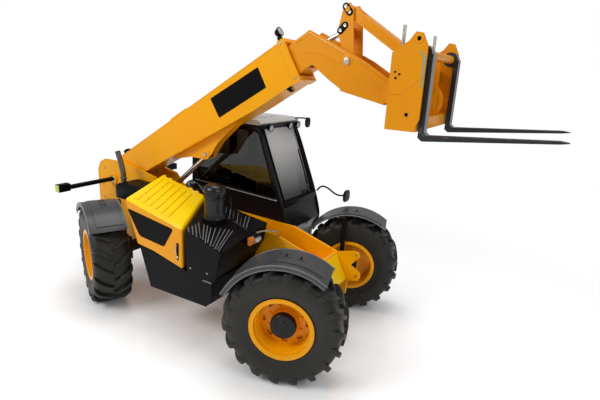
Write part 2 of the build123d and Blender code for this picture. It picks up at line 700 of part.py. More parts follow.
# ---- boom ---------------------------------------------------------------------------------
outer_outline = (
    (-95, 60), (-60, 160), (60, 215), (330, 235), (outer_front_s, 235), (outer_front_s, -235),
    (2800, -250), (2043, -219), (711, -159), (60, -110), (-60, -80), (-95, -20),
)
with BuildPart() as outer_boom:
    slab(outer_outline, -boom_half_width, boom_half_width, boom_plane)
    # A doubler plate on top, and the collar around the front end.
    slab(((1511, 234), (1831, 234), (1831, 249), (1511, 249)), -boom_half_width, boom_half_width, boom_plane)
    slab(((3425, 248), (outer_front_s, 248), (outer_front_s, -247), (3425, -250)),
         -boom_half_width - 12, boom_half_width + 12, boom_plane)
    slab(((250, 205), (outer_front_s + 5, 205), (outer_front_s + 5, -190), (2043, -180), (711, -135), (250, -120)),
         -boom_half_width + boom_wall, boom_half_width - boom_wall, boom_plane, mode=Mode.SUBTRACT)
    disc((0, 0), 45 + pin_fit, -200, 200, boom_plane, mode=Mode.SUBTRACT)
    # Two cheeks under the boom that take the lift ram's eye.
    for side in (1, -1):
        cheek = sorted((side * 42, side * 64))
        slab(((1150, -185), (1500, -300), (1690, -420), (1810, -420), (2000, -330), (2500, -225)),
             *cheek, boom_plane)
save(outer_boom, "outer_boom")

boom_lamp_profiles = (
    # profile, y from, y to
    (((3445, 248.3), (3495, 248.3), (3508, 300), (3504, 380), (3440, 380), (3432, 300)), -205, -95),
    (((350, 235.3), (440, 235.3), (440, 292), (362, 292)), -140, -60),
    (((3290, -240), (3360, -238.5), (3360, -300), (3290, -300)), -160, -118),
)
with BuildPart() as boom_lamps:
    for profile, lamp_from, lamp_to in boom_lamp_profiles:
        slab(profile, lamp_from, lamp_to, boom_plane)
save(boom_lamps, "boom_lamps")

head_outline = (
    (3560, 150), (3823, 158), (4218, -409), (4414, -769), (4395, -880), (4309, -905), (4230, -880), (3870, -537),
    (3790, -386), (3690, -160), (3560, -160),
)
with BuildPart() as inner_boom:
    slab(((700, 150), (inner_front_s, 150), (inner_front_s, -165), (2043, -165), (700, -115)),
         -inner_half_width, inner_half_width, boom_plane)
    slab(((690, 138), (inner_front_s + 5, 138), (inner_front_s + 5, -153), (2043, -153), (690, -103)),
         -inner_half_width + boom_wall, inner_half_width - boom_wall, boom_plane, mode=Mode.SUBTRACT)
    for side in (1, -1):
        cheek = sorted((side * (head_half_width - 20), side * head_half_width))
        slab(head_outline, *cheek, boom_plane)
    disc(lever_pivot, 25, -head_half_width - 18, head_half_width + 18, boom_plane)
    disc(carriage_pivot, 62, -head_half_width, head_half_width, boom_plane)
    disc(carriage_pivot, 30 + pin_fit, -200, 200, boom_plane, mode=Mode.SUBTRACT)
    slab(((3870, -537), (4230, -880), (4225, -895), (3860, -552)), -head_half_width, head_half_width, boom_plane)
    disc(tilt_base, 22, -inner_half_width, inner_half_width, boom_plane)
save(inner_boom, "inner_boom")

# ---- tilt linkage ---------------------------------------------------------------------------
with BuildPart() as tilt_lever:
    for side in (1, -1):
        cheek = sorted((side * 105, side * 121))
        slab(((4005, -331), (4061, -392), (4120, -331), (4325, 90), (4320, 160), (4250, 170), (4090, 0)),
             *cheek, boom_plane)
        disc(tilt_eye, 36, *sorted((side * 38, side * 105)), boom_plane)
    disc(lever_pivot, 42, -121, 121, boom_plane)
    disc(lever_pivot, 25 + pin_fit, -200, 200, boom_plane, mode=Mode.SUBTRACT)
    disc(lever_top, 25, -135, 135, boom_plane)
save(tilt_lever, "tilt_lever")

lever_top_place = on_boom(*lever_top)
link_run = Vector(link_pin[0] - lever_top_place[0], link_pin[1] - lever_top_place[1])
link_up = Vector(-link_run.Y, link_run.X).normalized()
link_plane_x = (link_run.X, 0, link_run.Y)


def link_plane(y=0.0):
    # x from the lever's top pin to the carriage's link pin.
    return Plane(origin=(mid_x + lever_top_place[0], y, lever_top_place[1]), x_dir=link_plane_x, z_dir=(0, -1, 0))


with BuildPart() as tilt_link:
    slab(((0, 50), (link_run.length, 50), (link_run.length, -50), (0, -50)), -95, 95, link_plane)
    disc((0, 0), 50, -95, 95, link_plane)
    disc((link_run.length, 0), 50, -95, 95, link_plane)
    disc((0, 0), 25 + pin_fit, -200, 200, link_plane, mode=Mode.SUBTRACT)
    # Forked at the lever's end, so that the ram's rod passes between its cheeks.
    slab(((-60, 60), (150, 60), (150, -60), (-60, -60)), -62, 62, link_plane, mode=Mode.SUBTRACT)
save(tilt_link, "tilt_link")

# ---- carriage -------------------------------------------------------------------------------
pivot_place = on_boom(*carriage_pivot)
with BuildPart() as carriage:
    for side in (1, -1):
        cheek = sorted((side * 162, side * 182))
        slab(((pivot_place[0] - 62, 2925), (pivot_place[0] - 30, 2872), (2300, 2680), (2380, 2680),
              (2380, 3250), (2180, 3350), (2085, 3345), (2070, 3290), (pivot_place[0] - 45, 2985)), *cheek)
        disc(link_pin, 45, *sorted((side * 104, side * 162)))
        ear = sorted((side * (carriage_half_width - 20), side * carriage_half_width))
        slab(((2150, 2650), (2400, 2650), (2450, 2760), (2450, 3280), (2450, 3360), (2400, 3460),
              (2340, 3470), (2290, 3400), (2150, 3300)), *ear)
    disc(pivot_place, 30, -182, 182)
    disc(fork_shaft, fork_shaft_radius, -carriage_half_width, carriage_half_width)
    block((2300, 2425), (-carriage_half_width, carriage_half_width), (2650, 2760))
    block((2190, 2300), (-carriage_half_width, carriage_half_width), (3060, 3180))
save(carriage, "carriage")

with BuildPart() as locking_rods:
    for side in (1, -1):
        round_bar((2207, side * 500, 3180), (2207, side * 500, 3530), 15)
save(locking_rods, "locking_rods")

for side, name in ((1, "fork_left"), (-1, "fork_right")):
    with BuildPart() as fork:
        near = sorted((side * fork_y - 50, side * fork_y + 50))
        slab(((2440, 3300), (2440, 2600), (2480, 2572), (3520, 2676), (fork_tip_x, 2688), (3520, 2696),
              (2520, 2625), (2490, 2650), (2490, 3300)), *near)
        disc(fork_shaft, 72, *near)
        disc(fork_shaft, fork_shaft_radius + pin_fit, side * fork_y - 60, side * fork_y + 60, mode=Mode.SUBTRACT)
    save(fork, name)

# ---- rams -----------------------------------------------------------------------------------
ram("lift_ram", lift_base, on_boom(*lift_eye_on_boom), 0, 65, 35, 1140, 590, 70, 30)
ram("tilt_ram", on_boom(*tilt_base), on_boom(*tilt_eye), 0, 45, 25, 700, 420, 60, 22)
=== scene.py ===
import json
import math
import bmesh
import bpy
from mathutils import Matrix, Vector


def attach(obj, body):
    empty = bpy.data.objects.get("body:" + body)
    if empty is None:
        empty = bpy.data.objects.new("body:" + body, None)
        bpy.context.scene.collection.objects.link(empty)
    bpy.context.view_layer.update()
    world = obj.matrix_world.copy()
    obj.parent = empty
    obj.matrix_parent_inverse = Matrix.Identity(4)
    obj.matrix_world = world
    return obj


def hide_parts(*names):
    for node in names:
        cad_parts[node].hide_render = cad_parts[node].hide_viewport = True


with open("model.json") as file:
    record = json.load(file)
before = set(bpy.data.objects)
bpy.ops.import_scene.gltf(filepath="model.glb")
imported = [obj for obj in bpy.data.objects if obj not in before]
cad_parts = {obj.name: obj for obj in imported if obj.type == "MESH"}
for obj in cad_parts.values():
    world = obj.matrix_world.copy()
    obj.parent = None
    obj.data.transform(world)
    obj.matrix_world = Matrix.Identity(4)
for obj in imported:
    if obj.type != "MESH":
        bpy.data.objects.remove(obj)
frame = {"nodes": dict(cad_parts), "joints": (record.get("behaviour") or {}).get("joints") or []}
bpy.context.scene.view_settings.view_transform = "Standard"
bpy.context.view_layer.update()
print("frame loaded:", len(frame["nodes"]), "nodes")


# small helpers for nodes and colours

def linearFrom(hexColour):
    # sRGB hex to the linear values that the shader wants
    parts = [int(hexColour[i:i + 2], 16) / 255 for i in (1, 3, 5)]
    linear = [c / 12.92 if c <= 0.04045 else ((c + 0.055) / 1.055) ** 2.4 for c in parts]
    return (*linear, 1.0)


def addNode(tree, kind, inputs=None, **settings):
    # one node with its settings; an input is a plain value or another node's output
    node = tree.nodes.new(kind)
    for name, value in settings.items():
        setattr(node, name, value)
    for socket, value in (inputs or {}).items():
        if isinstance(value, bpy.types.NodeSocket):
            tree.links.new(value, node.inputs[socket])
        else:
            node.inputs[socket].default_value = value
    return node


def newFinish(name):
    material = bpy.data.materials.new(name)
    material.use_nodes = True
    material.node_tree.nodes.clear()
    return material, material.node_tree


def closeFinish(tree, shader):
    addNode(tree, "ShaderNodeOutputMaterial", {"Surface": shader.outputs[0]})


# camera, light and stage

cameraSetup = {
    "place": (2.9775, -4.42, 3.09),
    "turn": 29.8,       # degrees from straight across, toward the rear
    "down": 15.9,
    "lean": 3.2,
    "lens": 26.73,      # mm
    "sensor": 36.0,     # mm
    "reach": 200.0,
}


def setCamera(setup):
    data = bpy.data.cameras.new("camera")
    data.sensor_width = setup["sensor"]
    data.lens = setup["lens"]
    data.clip_end = setup["reach"]
    camera = bpy.data.objects.new("camera", data)
    turn = Matrix.Rotation(math.radians(setup["turn"]), 4, "Z")
    tilt = Matrix.Rotation(math.radians(90 - setup["down"]), 4, "X")
    lean = Matrix.Rotation(math.radians(setup["lean"]), 4, "Z")
    camera.matrix_world = Matrix.Translation(setup["place"]) @ turn @ tilt @ lean
    bpy.context.scene.collection.objects.link(camera)
    bpy.context.scene.camera = camera


lampTable = (
    # name, place, looks at, width and height in metres, watts
    ("key_softbox", (-3.5, -6.5, 6.5), (-0.3, 0, 1.2), (4.0, 3.0), 330),
    ("front_softbox", (6.5, -2.5, 5.0), (0.5, 0, 1.0), (3.0, 2.5), 90),
    ("top_softbox", (-0.5, 1.0, 8.5), (-0.5, 0, 1.0), (6.0, 4.0), 260),
)
worldStrength = 0.36


def setLamps():
    for name, place, target, size, watts in lampTable:
        data = bpy.data.lights.new(name, "AREA")
        data.shape = "RECTANGLE"
        data.size, data.size_y = size
        data.energy = watts
        lamp = bpy.data.objects.new(name, data)
        lamp.location = place
        aim = Vector(target) - Vector(place)
        lamp.rotation_euler = aim.to_track_quat("-Z", "Y").to_euler()
        bpy.context.scene.collection.objects.link(lamp)
    world = bpy.data.worlds.new("studio")
    bpy.context.scene.world = world
    world.use_nodes = True
    tree = world.node_tree
    tree.nodes.clear()
    path = addNode(tree, "ShaderNodeLightPath")
    seen = addNode(tree, "ShaderNodeMath", {0: path.outputs["Is Camera Ray"], 1: path.outputs["Is Transmission Ray"]},
                   operation="MAXIMUM")
    around = addNode(tree, "ShaderNodeBackground", {"Color": (1, 1, 1, 1), "Strength": worldStrength})
    white = addNode(tree, "ShaderNodeBackground", {"Color": (1, 1, 1, 1), "Strength": 1.0})
    both = addNode(tree, "ShaderNodeMixShader", {0: seen.outputs[0], 1: around.outputs[0], 2: white.outputs[0]})
    addNode(tree, "ShaderNodeOutputWorld", {"Surface": both.outputs[0]})


stageSetup = {
    "half": 30.0, "colour": "#f6f6f6", "roughness": 0.07, "gloss": 0.7,
    "shadowReach": (3.2, 6.0),      # full shadow nearer than the first, plain white past the second
    "lift": 0.40,                   # light added to the open floor
    "contact": 1.1, "depth": 1.6,   # reach of the contact shadow, and how steeply it darkens
    "samples": 16,
}


def setStage(setup):
    mesh = bpy.data.meshes.new("studio_floor")
    half = setup["half"]
    corners = [(-half, -half, 0), (half, -half, 0), (half, half, 0), (-half, half, 0)]
    mesh.from_pydata(corners, [], [(0, 1, 2, 3)])
    floor = bpy.data.objects.new("studio_floor", mesh)
    bpy.context.scene.collection.objects.link(floor)
    # Glossy white acrylic floor: a soft shadow and mirror image near the machine, plain white further out
    material, tree = newFinish("acrylicFloor")
    path = addNode(tree, "ShaderNodeLightPath")
    seen = addNode(tree, "ShaderNodeMath", {0: path.outputs["Is Camera Ray"], 1: path.outputs["Is Glossy Ray"]},
                   operation="MAXIMUM")
    seen = addNode(tree, "ShaderNodeMath", {0: seen.outputs[0], 1: path.outputs["Is Transmission Ray"]},
                   operation="MAXIMUM")
    coords = addNode(tree, "ShaderNodeTexCoord")
    distance = addNode(tree, "ShaderNodeVectorMath", {0: coords.outputs["Object"]}, operation="LENGTH")
    near, far = setup["shadowReach"]
    outward = addNode(tree, "ShaderNodeMapRange", {"Value": distance.outputs["Value"], "From Min": near,
                                                   "From Max": far}, interpolation_type="SMOOTHSTEP")
    away = addNode(tree, "ShaderNodeMath", {0: outward.outputs[0], 1: seen.outputs[0]}, operation="MULTIPLY")
    nearby = addNode(tree, "ShaderNodeAmbientOcclusion", {"Distance": setup["contact"]}, samples=setup["samples"])
    openness = addNode(tree, "ShaderNodeMath", {0: nearby.outputs["AO"], 1: setup["depth"]}, operation="POWER")
    allowed = addNode(tree, "ShaderNodeMath", {0: openness.outputs[0], 1: setup["lift"]}, operation="MULTIPLY")
    lifted = addNode(tree, "ShaderNodeMath", {0: seen.outputs[0], 1: allowed.outputs[0]}, operation="MULTIPLY")
    white = addNode(tree, "ShaderNodeBsdfPrincipled", {
        "Base Color": linearFrom(setup["colour"]), "Roughness": setup["roughness"],
        "Specular IOR Level": setup["gloss"]})
    glow = addNode(tree, "ShaderNodeEmission", {"Color": (1, 1, 1, 1), "Strength": lifted.outputs[0]})
    both = addNode(tree, "ShaderNodeAddShader", {0: white.outputs[0], 1: glow.outputs[0]})
    paper = addNode(tree, "ShaderNodeEmission", {"Color": (1, 1, 1, 1), "Strength": 1.0})
    faded = addNode(tree, "ShaderNodeMixShader", {0: away.outputs[0], 1: both.outputs[0], 2: paper.outputs[0]})
    closeFinish(tree, faded)
    mesh.materials.append(material)


setCamera(cameraSetup)
setLamps()
setStage(stageSetup)
print("camera, lamps and stage set")


# finishes; a pattern's scale is about how many of its features fit in a metre

def mottledBase(tree, first, second, scale, detail, roughness=0.5):
    # where on the piece, a cloud pattern there, and the colour that the cloud mixes from two
    coords = addNode(tree, "ShaderNodeTexCoord")
    cloud = addNode(tree, "ShaderNodeTexNoise", {"Vector": coords.outputs["Object"], "Scale": scale, "Detail": detail,
                                                 "Roughness": roughness})
    colour = addNode(tree, "ShaderNodeMix", {0: cloud.outputs["Fac"], 6: linearFrom(first), 7: linearFrom(second)},
                     data_type="RGBA")
    return coords, cloud, colour


enamelSetup = {"mottle": 3.0, "peel": 220.0, "peelBump": 0.05, "edge": 0.004, "coat": 0.08, "coatRoughness": 0.12,
               "specular": 0.22, "level": (0.25, 0.75)}


def enamelOnSteel(name, hexColour, dark, roughness=0.32, paintedLightSideColour=None):
    # Two-pack enamel sprayed on plate: orange peel about 4 mm wide, faint mottling, soft edges of the plate.
    # With a third colour, the sides that stand up take it and the tops keep the first two: painted light, the tops
    # lighter where the light falls and the sides darker.
    setup = enamelSetup
    material, tree = newFinish(name)
    coords, cloud, colour = mottledBase(tree, hexColour, dark, setup["mottle"], 5.0)
    # painted light: faces that stand up take the side colour, tops keep the lit one
    if paintedLightSideColour:
        facing = addNode(tree, "ShaderNodeSeparateXYZ", {0: coords.outputs["Normal"]})
        level = addNode(tree, "ShaderNodeMapRange", {"Value": facing.outputs["Z"], "From Min": setup["level"][0],
                                                     "From Max": setup["level"][1]})
        colour = addNode(tree, "ShaderNodeMix", {0: level.outputs[0], 6: linearFrom(paintedLightSideColour), 7: colour.outputs[2]},
                         data_type="RGBA")
    peel = addNode(tree, "ShaderNodeTexNoise", {"Vector": coords.outputs["Object"], "Scale": setup["peel"],
                                                "Detail": 2.0})
    rounded = addNode(tree, "ShaderNodeBevel", {"Radius": setup["edge"]}, samples=4)
    bump = addNode(tree, "ShaderNodeBump", {"Height": peel.outputs["Fac"], "Strength": setup["peelBump"],
                                            "Distance": 0.001, "Normal": rounded.outputs[0]})
    shine = addNode(tree, "ShaderNodeMapRange", {"Value": cloud.outputs["Fac"], "To Min": roughness - 0.06,
                                                 "To Max": roughness + 0.08})
    shader = addNode(tree, "ShaderNodeBsdfPrincipled", {
        "Base Color": colour.outputs[2], "Roughness": shine.outputs[0], "Normal": bump.outputs[0],
        "Coat Weight": setup["coat"], "Coat Roughness": setup["coatRoughness"],
        "Specular IOR Level": setup["specular"]})
    closeFinish(tree, shader)
    return material


mouldingSetup = {"mottle": 4.0, "edge": 0.006, "grainBump": 0.12}


def mouldedPlastic(name, hexColour, dark, roughness=0.5, grain=0.0012, specular=0.35):
    # Injection-moulded plastic: its leather grain, given in metres, is drawn four times as wide so that it shows
    setup = mouldingSetup
    material, tree = newFinish(name)
    coords, cloud, colour = mottledBase(tree, hexColour, dark, setup["mottle"], 6.0)
    cells = addNode(tree, "ShaderNodeTexVoronoi", {"Vector": coords.outputs["Object"], "Scale": 1 / (4 * grain)})
    rounded = addNode(tree, "ShaderNodeBevel", {"Radius": setup["edge"]}, samples=4)
    bump = addNode(tree, "ShaderNodeBump", {"Height": cells.outputs["Distance"], "Strength": setup["grainBump"],
                                            "Distance": 0.001, "Normal": rounded.outputs[0]})
    shine = addNode(tree, "ShaderNodeMapRange", {"Value": cloud.outputs["Fac"], "To Min": roughness - 0.08,
                                                 "To Max": roughness + 0.1})
    shader = addNode(tree, "ShaderNodeBsdfPrincipled", {
        "Base Color": colour.outputs[2], "Roughness": shine.outputs[0], "Normal": bump.outputs[0],
        "Specular IOR Level": specular})
    closeFinish(tree, shader)
    return material


rubberSetup = {"dust": 7.0, "pores": 180.0, "poreBump": 0.2, "roughness": 0.5, "specular": 0.36}


def vulcanisedRubber(name, hexColour, dusty):
    # Carbon-black rubber, matt, with a little grey dust in broad patches
    setup = rubberSetup
    material, tree = newFinish(name)
    coords, _, colour = mottledBase(tree, hexColour, dusty, setup["dust"], 8.0, 0.65)
    fine = addNode(tree, "ShaderNodeTexNoise", {"Vector": coords.outputs["Object"], "Scale": setup["pores"],
                                                "Detail": 3.0})
    bump = addNode(tree, "ShaderNodeBump", {"Height": fine.outputs["Fac"], "Strength": setup["poreBump"],
                                            "Distance": 0.002})
    shader = addNode(tree, "ShaderNodeBsdfPrincipled", {
        "Base Color": colour.outputs[2], "Roughness": setup["roughness"], "Normal": bump.outputs[0],
        "Specular IOR Level": setup["specular"]})
    closeFinish(tree, shader)
    return material


metalSetup = {"streak": (40, 40, 4), "lines": 6.0}


def bareMetal(name, hexColour, roughness):
    # Ground or drawn metal: streaks along its length break up the highlight
    setup = metalSetup
    material, tree = newFinish(name)
    coords = addNode(tree, "ShaderNodeTexCoord")
    stretched = addNode(tree, "ShaderNodeMapping", {"Vector": coords.outputs["Object"], "Scale": setup["streak"]})
    lines = addNode(tree, "ShaderNodeTexNoise", {"Vector": stretched.outputs[0], "Scale": setup["lines"],
                                                 "Detail": 4.0})
    shine = addNode(tree, "ShaderNodeMapRange", {"Value": lines.outputs["Fac"], "To Min": roughness - 0.06,
                                                 "To Max": roughness + 0.1})
    shader = addNode(tree, "ShaderNodeBsdfPrincipled", {
        "Base Color": linearFrom(hexColour), "Metallic": 1.0, "Roughness": shine.outputs[0]})
    closeFinish(tree, shader)
    return material


glassSetup = {"ripple": 1.5, "rippleBump": 0.02, "roughness": 0.02, "index": 1.5}


def heightGradedGlass(name, upper, lower, reach, clear=1.0):
    # Toughened safety glass, its colour graded toward the darker one at its foot; it tints what shows through, and
    # where the glass is not fully clear it also lies on the glass as diffuse colour, which on the windscreen paints a
    # pale reflection of the sky at the top; ripples show only in the reflection
    setup = glassSetup
    material, tree = newFinish(name)
    coords = addNode(tree, "ShaderNodeTexCoord")
    ripple = addNode(tree, "ShaderNodeTexNoise", {"Vector": coords.outputs["Object"], "Scale": setup["ripple"]})
    bump = addNode(tree, "ShaderNodeBump", {"Height": ripple.outputs["Fac"], "Strength": setup["rippleBump"],
                                            "Distance": 0.01})
    place = addNode(tree, "ShaderNodeSeparateXYZ", {0: coords.outputs["Object"]})
    height = addNode(tree, "ShaderNodeMapRange", {"Value": place.outputs["Z"], "From Min": reach[0],
                                                  "From Max": reach[1]})
    colour = addNode(tree, "ShaderNodeMix", {0: height.outputs[0], 6: linearFrom(lower), 7: linearFrom(upper)},
                     data_type="RGBA")
    shader = addNode(tree, "ShaderNodeBsdfPrincipled", {
        "Base Color": colour.outputs[2], "Roughness": setup["roughness"], "IOR": setup["index"],
        "Transmission Weight": clear, "Normal": bump.outputs[0]})
    closeFinish(tree, shader)
    return material


lensSetup = {"flutes": 28.0, "fluteBump": 0.35, "index": 1.58}


def lensPlastic(name, hexColour, roughness, clear):
    # Polycarbonate lamp lens: coloured through, glossy, with moulded flutes behind the face
    setup = lensSetup
    material, tree = newFinish(name)
    coords = addNode(tree, "ShaderNodeTexCoord")
    flutes = addNode(tree, "ShaderNodeTexWave", {"Vector": coords.outputs["Object"], "Scale": setup["flutes"],
                                                 "Distortion": 0.3}, bands_direction="Y")
    bump = addNode(tree, "ShaderNodeBump", {"Height": flutes.outputs["Fac"], "Strength": setup["fluteBump"],
                                            "Distance": 0.004})
    shade = addNode(tree, "ShaderNodeMapRange", {"Value": flutes.outputs["Fac"], "To Min": roughness,
                                                 "To Max": roughness + 0.12})
    shader = addNode(tree, "ShaderNodeBsdfPrincipled", {
        "Base Color": linearFrom(hexColour), "Roughness": shade.outputs[0], "IOR": setup["index"],
        "Transmission Weight": clear, "Normal": bump.outputs[0]})
    closeFinish(tree, shader)
    return material


clothSetup = {"threads": 90.0, "threadBump": 0.4, "roughness": 0.85, "sheen": 0.3}


def wovenCloth(name, hexColour, light):
    # Woven seat cloth with a soft sheen; its 2 mm threads are drawn as coarse as they need to show
    setup = clothSetup
    material, tree = newFinish(name)
    coords = addNode(tree, "ShaderNodeTexCoord")
    warp, weft = (addNode(tree, "ShaderNodeTexWave", {"Vector": coords.outputs["Object"], "Scale": setup["threads"]},
                          bands_direction=way) for way in "XY")
    threads = addNode(tree, "ShaderNodeMath", {0: warp.outputs["Fac"], 1: weft.outputs["Fac"]}, operation="MULTIPLY")
    colour = addNode(tree, "ShaderNodeMix", {0: threads.outputs[0], 6: linearFrom(hexColour), 7: linearFrom(light)},
                     data_type="RGBA")
    bump = addNode(tree, "ShaderNodeBump", {"Height": threads.outputs[0], "Strength": setup["threadBump"],
                                            "Distance": 0.001})
    shader = addNode(tree, "ShaderNodeBsdfPrincipled", {
        "Base Color": colour.outputs[2], "Roughness": setup["roughness"], "Sheen Weight": setup["sheen"],
        "Normal": bump.outputs[0]})
    closeFinish(tree, shader)
    return material


forkSetup = {"scuff": 9.0, "loadFace": 0.6, "flecks": (0.58, 0.72), "fleckShare": 0.5, "roughness": (0.35, 0.6)}


def wornForkSteel(name, black, worn):
    # Forged fork: black lacquer, rubbed to bright steel on the load face of the shank and in flecks
    setup = forkSetup
    material, tree = newFinish(name)
    coords = addNode(tree, "ShaderNodeTexCoord")
    facing = addNode(tree, "ShaderNodeSeparateXYZ", {0: coords.outputs["Normal"]})
    scuff = addNode(tree, "ShaderNodeTexNoise", {"Vector": coords.outputs["Object"], "Scale": setup["scuff"],
                                                 "Detail": 8.0, "Roughness": 0.7})
    face = addNode(tree, "ShaderNodeMath", {0: facing.outputs["X"], 1: setup["loadFace"]}, operation="GREATER_THAN")
    flecks = addNode(tree, "ShaderNodeMapRange", {
        "Value": scuff.outputs["Fac"], "From Min": setup["flecks"][0], "From Max": setup["flecks"][1],
        "To Min": 0.0, "To Max": setup["fleckShare"]})
    bare = addNode(tree, "ShaderNodeMath", {0: face.outputs[0], 1: flecks.outputs[0]}, operation="MAXIMUM")
    colour = addNode(tree, "ShaderNodeMix", {0: bare.outputs[0], 6: linearFrom(black), 7: linearFrom(worn)},
                     data_type="RGBA")
    rough = addNode(tree, "ShaderNodeMapRange", {"Value": scuff.outputs["Fac"], "To Min": setup["roughness"][0],
                                                 "To Max": setup["roughness"][1]})
    bump = addNode(tree, "ShaderNodeBump", {"Height": scuff.outputs["Fac"], "Strength": 0.15, "Distance": 0.002})
    shader = addNode(tree, "ShaderNodeBsdfPrincipled", {
        "Base Color": colour.outputs[2], "Roughness": rough.outputs[0], "Normal": bump.outputs[0]})
    closeFinish(tree, shader)
    return material


finishTable = (
    # how it is made, then its name and that function's own values
    (enamelOnSteel, {
        "orangeEnamel": ("#ffb200", "#fca800"),
        # the orange enamel drawn darker: painted shade on the inner boom, its head, the carriage, the lever and the
        # link
        "deepOrangeEnamel": ("#f29c00", "#ea9400"),
        # painted light: yellow for a face that the light falls on, over the orange enamel
        "yellowEnamel": ("#ffdc12", "#ffcf08", 0.26),
        # painted light: yellow on the hood's tops where the light falls, orange on its sides; in reality one enamel
        "hoodEnamel": ("#ffdc10", "#ffce06", 0.26, "#f6a410"),
        "blackEnamel": ("#0d0d0f", "#131315", 0.3),
        "greyEnamel": ("#4a4d50", "#3e4043", 0.45),
        "redEnamel": ("#c4150f", "#a8100c", 0.28),
    }),
    (mouldedPlastic, {
        "blackMoulding": ("#08080a", "#0d0d0f", 0.42, 0.0012, 0.1),
        "glossMoulding": ("#060607", "#0a0a0b", 0.3, 0.002, 0.5),
        # light grey: painted highlight along the crowns of the black deck's ribs
        "ribCrown": ("#77787a", "#8b8c8e", 0.35),
        "fenderMoulding": ("#3a3b3d", "#505153", 0.28),
        # light grey; on the fenders' rolled edges and crease it is painted highlight
        "fenderLip": ("#747577", "#86878a", 0.3),
        "reflectiveStrip": ("#a9ad8c", "#989c7c", 0.3),
        "roofGelcoat": ("#c9c8c3", "#bdbcb7", 0.35),
        # black film for decals; in the carriage's holes it is painted shade
        "decalFilm": ("#070708", "#0c0c0d", 0.4, 0.004, 0.08),
    }),
    (wovenCloth, {"seatCloth": ("#1d1e21", "#34363b")}),
    (lensPlastic, {
        "clearLens": ("#eef0f2", 0.06, 0.5),
        "amberLens": ("#f08a2c", 0.1, 0.25),
        "redLens": ("#b5121b", 0.1, 0.25),
        "limeReflector": ("#c3e04a", 0.15, 0.1),
    }),
    (vulcanisedRubber, {"tyreRubber": ("#131211", "#2e2c27")}),
    (bareMetal, {
        "chromePlate": ("#cfd0d2", 0.14),
        "zincPlate": ("#b9b8ae", 0.32),
        "reflectorBowl": ("#e6e7e8", 0.12),
        "pipeSteel": ("#6b665f", 0.38),
    }),
    (wornForkSteel, {"forkLacquer": ("#161617", "#8c8c8a")}),
    (heightGradedGlass, {
        "sideGlass": ("#67635a", "#3a352c", (1.5, 2.3)),
        # painted reflection: the windscreen is drawn pale near its top, where the sky reflects, and dark grey at its
        # foot
        "screenGlass": ("#f2f3f3", "#47484a", (1.52, 2.12), 0.35),
    }),
)
finishes = {name: make(name, *values) for make, table in finishTable for name, values in table.items()}

nodeFinish = {
    "orangeEnamel": ("chassis_frame", "outer_boom"),
    # painted shade: these parts take the darker copy of the orange enamel
    "deepOrangeEnamel": ("inner_boom", "carriage", "tilt_lever", "tilt_link"),
    "hoodEnamel": ("hood",),
    "blackEnamel": ("axles", "cab_shell", "cab_door", "lift_ram_barrel", "tilt_ram_barrel", "counterweight"),
    "greyEnamel": ("engine_block",),
    "redEnamel": ("service_strut",),
    "blackMoulding": ("engine_housing", "rear_cover", "air_intake", "side_tank", "lamp_bars", "mirrors",
                      "steering_wheel", "boom_lamps"),
    "roofGelcoat": ("cab_roof",),
    "seatCloth": ("seat",),
    "clearLens": ("work_lamps", "headlamps"),
    "chromePlate": ("lift_ram_rod", "tilt_ram_rod"),
    "pipeSteel": ("exhaust_pipe",),
    "zincPlate": ("locking_rods",),
    "forkLacquer": ("fork_left", "fork_right"),
    "sideGlass": ("cab_glass", "door_glass"),
}
corners = ("front_left", "front_right", "rear_left", "rear_right")
for corner in corners:
    nodeFinish["orangeEnamel"] += ("rim_" + corner,)
    nodeFinish["blackEnamel"] += ("knuckle_" + corner,)
    nodeFinish["fenderMoulding"] = nodeFinish.get("fenderMoulding", ()) + ("fender_" + corner,)
    nodeFinish["tyreRubber"] = nodeFinish.get("tyreRubber", ()) + ("tyre_" + corner,)

for finish, nodes in nodeFinish.items():
    for node in nodes:
        slots = frame["nodes"][node].data.materials
        if not slots:
            slots.append(finishes[finish])
        for i in range(len(slots)):
            slots[i] = finishes[finish]
print("finishes set")


# places and small forms

wheelbaseMiddle = 0.5425      # how far it lies behind the frame's origin
boomLine = {"pivot": (-2.12, 1.42), "angle": 31.0}
boomTurn = math.radians(boomLine["angle"])
boomAlong = Vector((math.cos(boomTurn), 0, math.sin(boomTurn)))
boomUp = Vector((-math.sin(boomTurn), 0, math.cos(boomTurn)))
acrossRight = Vector((0, -1, 0))
straightUp = Vector((0, 0, 1))
straightAhead = Vector((1, 0, 0))
unturned = Matrix.Identity(4)


def spot(x, y, z):
    # metres from the middle of the wheelbase, on the ground
    return Vector((x - wheelbaseMiddle, y, z))


def onBoom(along, above, y):
    return spot(boomLine["pivot"][0], y, boomLine["pivot"][1]) + boomAlong * along + boomUp * above


def frameOf(place, x, y):
    z = x.cross(y)
    turned = Matrix((x, y, z)).transposed().to_4x4()
    turned.translation = place
    return turned


def sideFrame(y=0.0):
    # x forward, y up, heights toward the machine's right
    return frameOf(spot(0, y, 0), straightAhead, straightUp)


def boomFrame(y=0.0):
    return frameOf(onBoom(0, 0, y), boomAlong, boomUp)


def faceFrame(x):
    # looks forward: x to the machine's left, y up
    return frameOf(spot(x, 0, 0), -acrossRight, straightUp)


def aimedFrame(place, aim, hint=straightUp):
    z = Vector(aim).normalized()
    if abs(z.dot(hint)) > 0.98:
        hint = straightAhead
    x = hint.cross(z).normalized()
    return frameOf(place, x, z.cross(x))


def lookingOut(place, way):
    # looks straight out to the left or right
    return aimedFrame(place, (0, way, 0))


def proud(way, low, high):
    # two heights out from a face on the left or right
    return sorted((-way * low, -way * high))


def around(y, half):
    # the two heights of a plate in the side frame that has y in its middle
    return -y - half, -y + half


def spots(*points):
    return [spot(*point) for point in points]


def boomSpots(*points):
    return [onBoom(*point) for point in points]


def rectangle(left, low, right, high):
    return (left, low), (right, low), (right, high), (left, high)


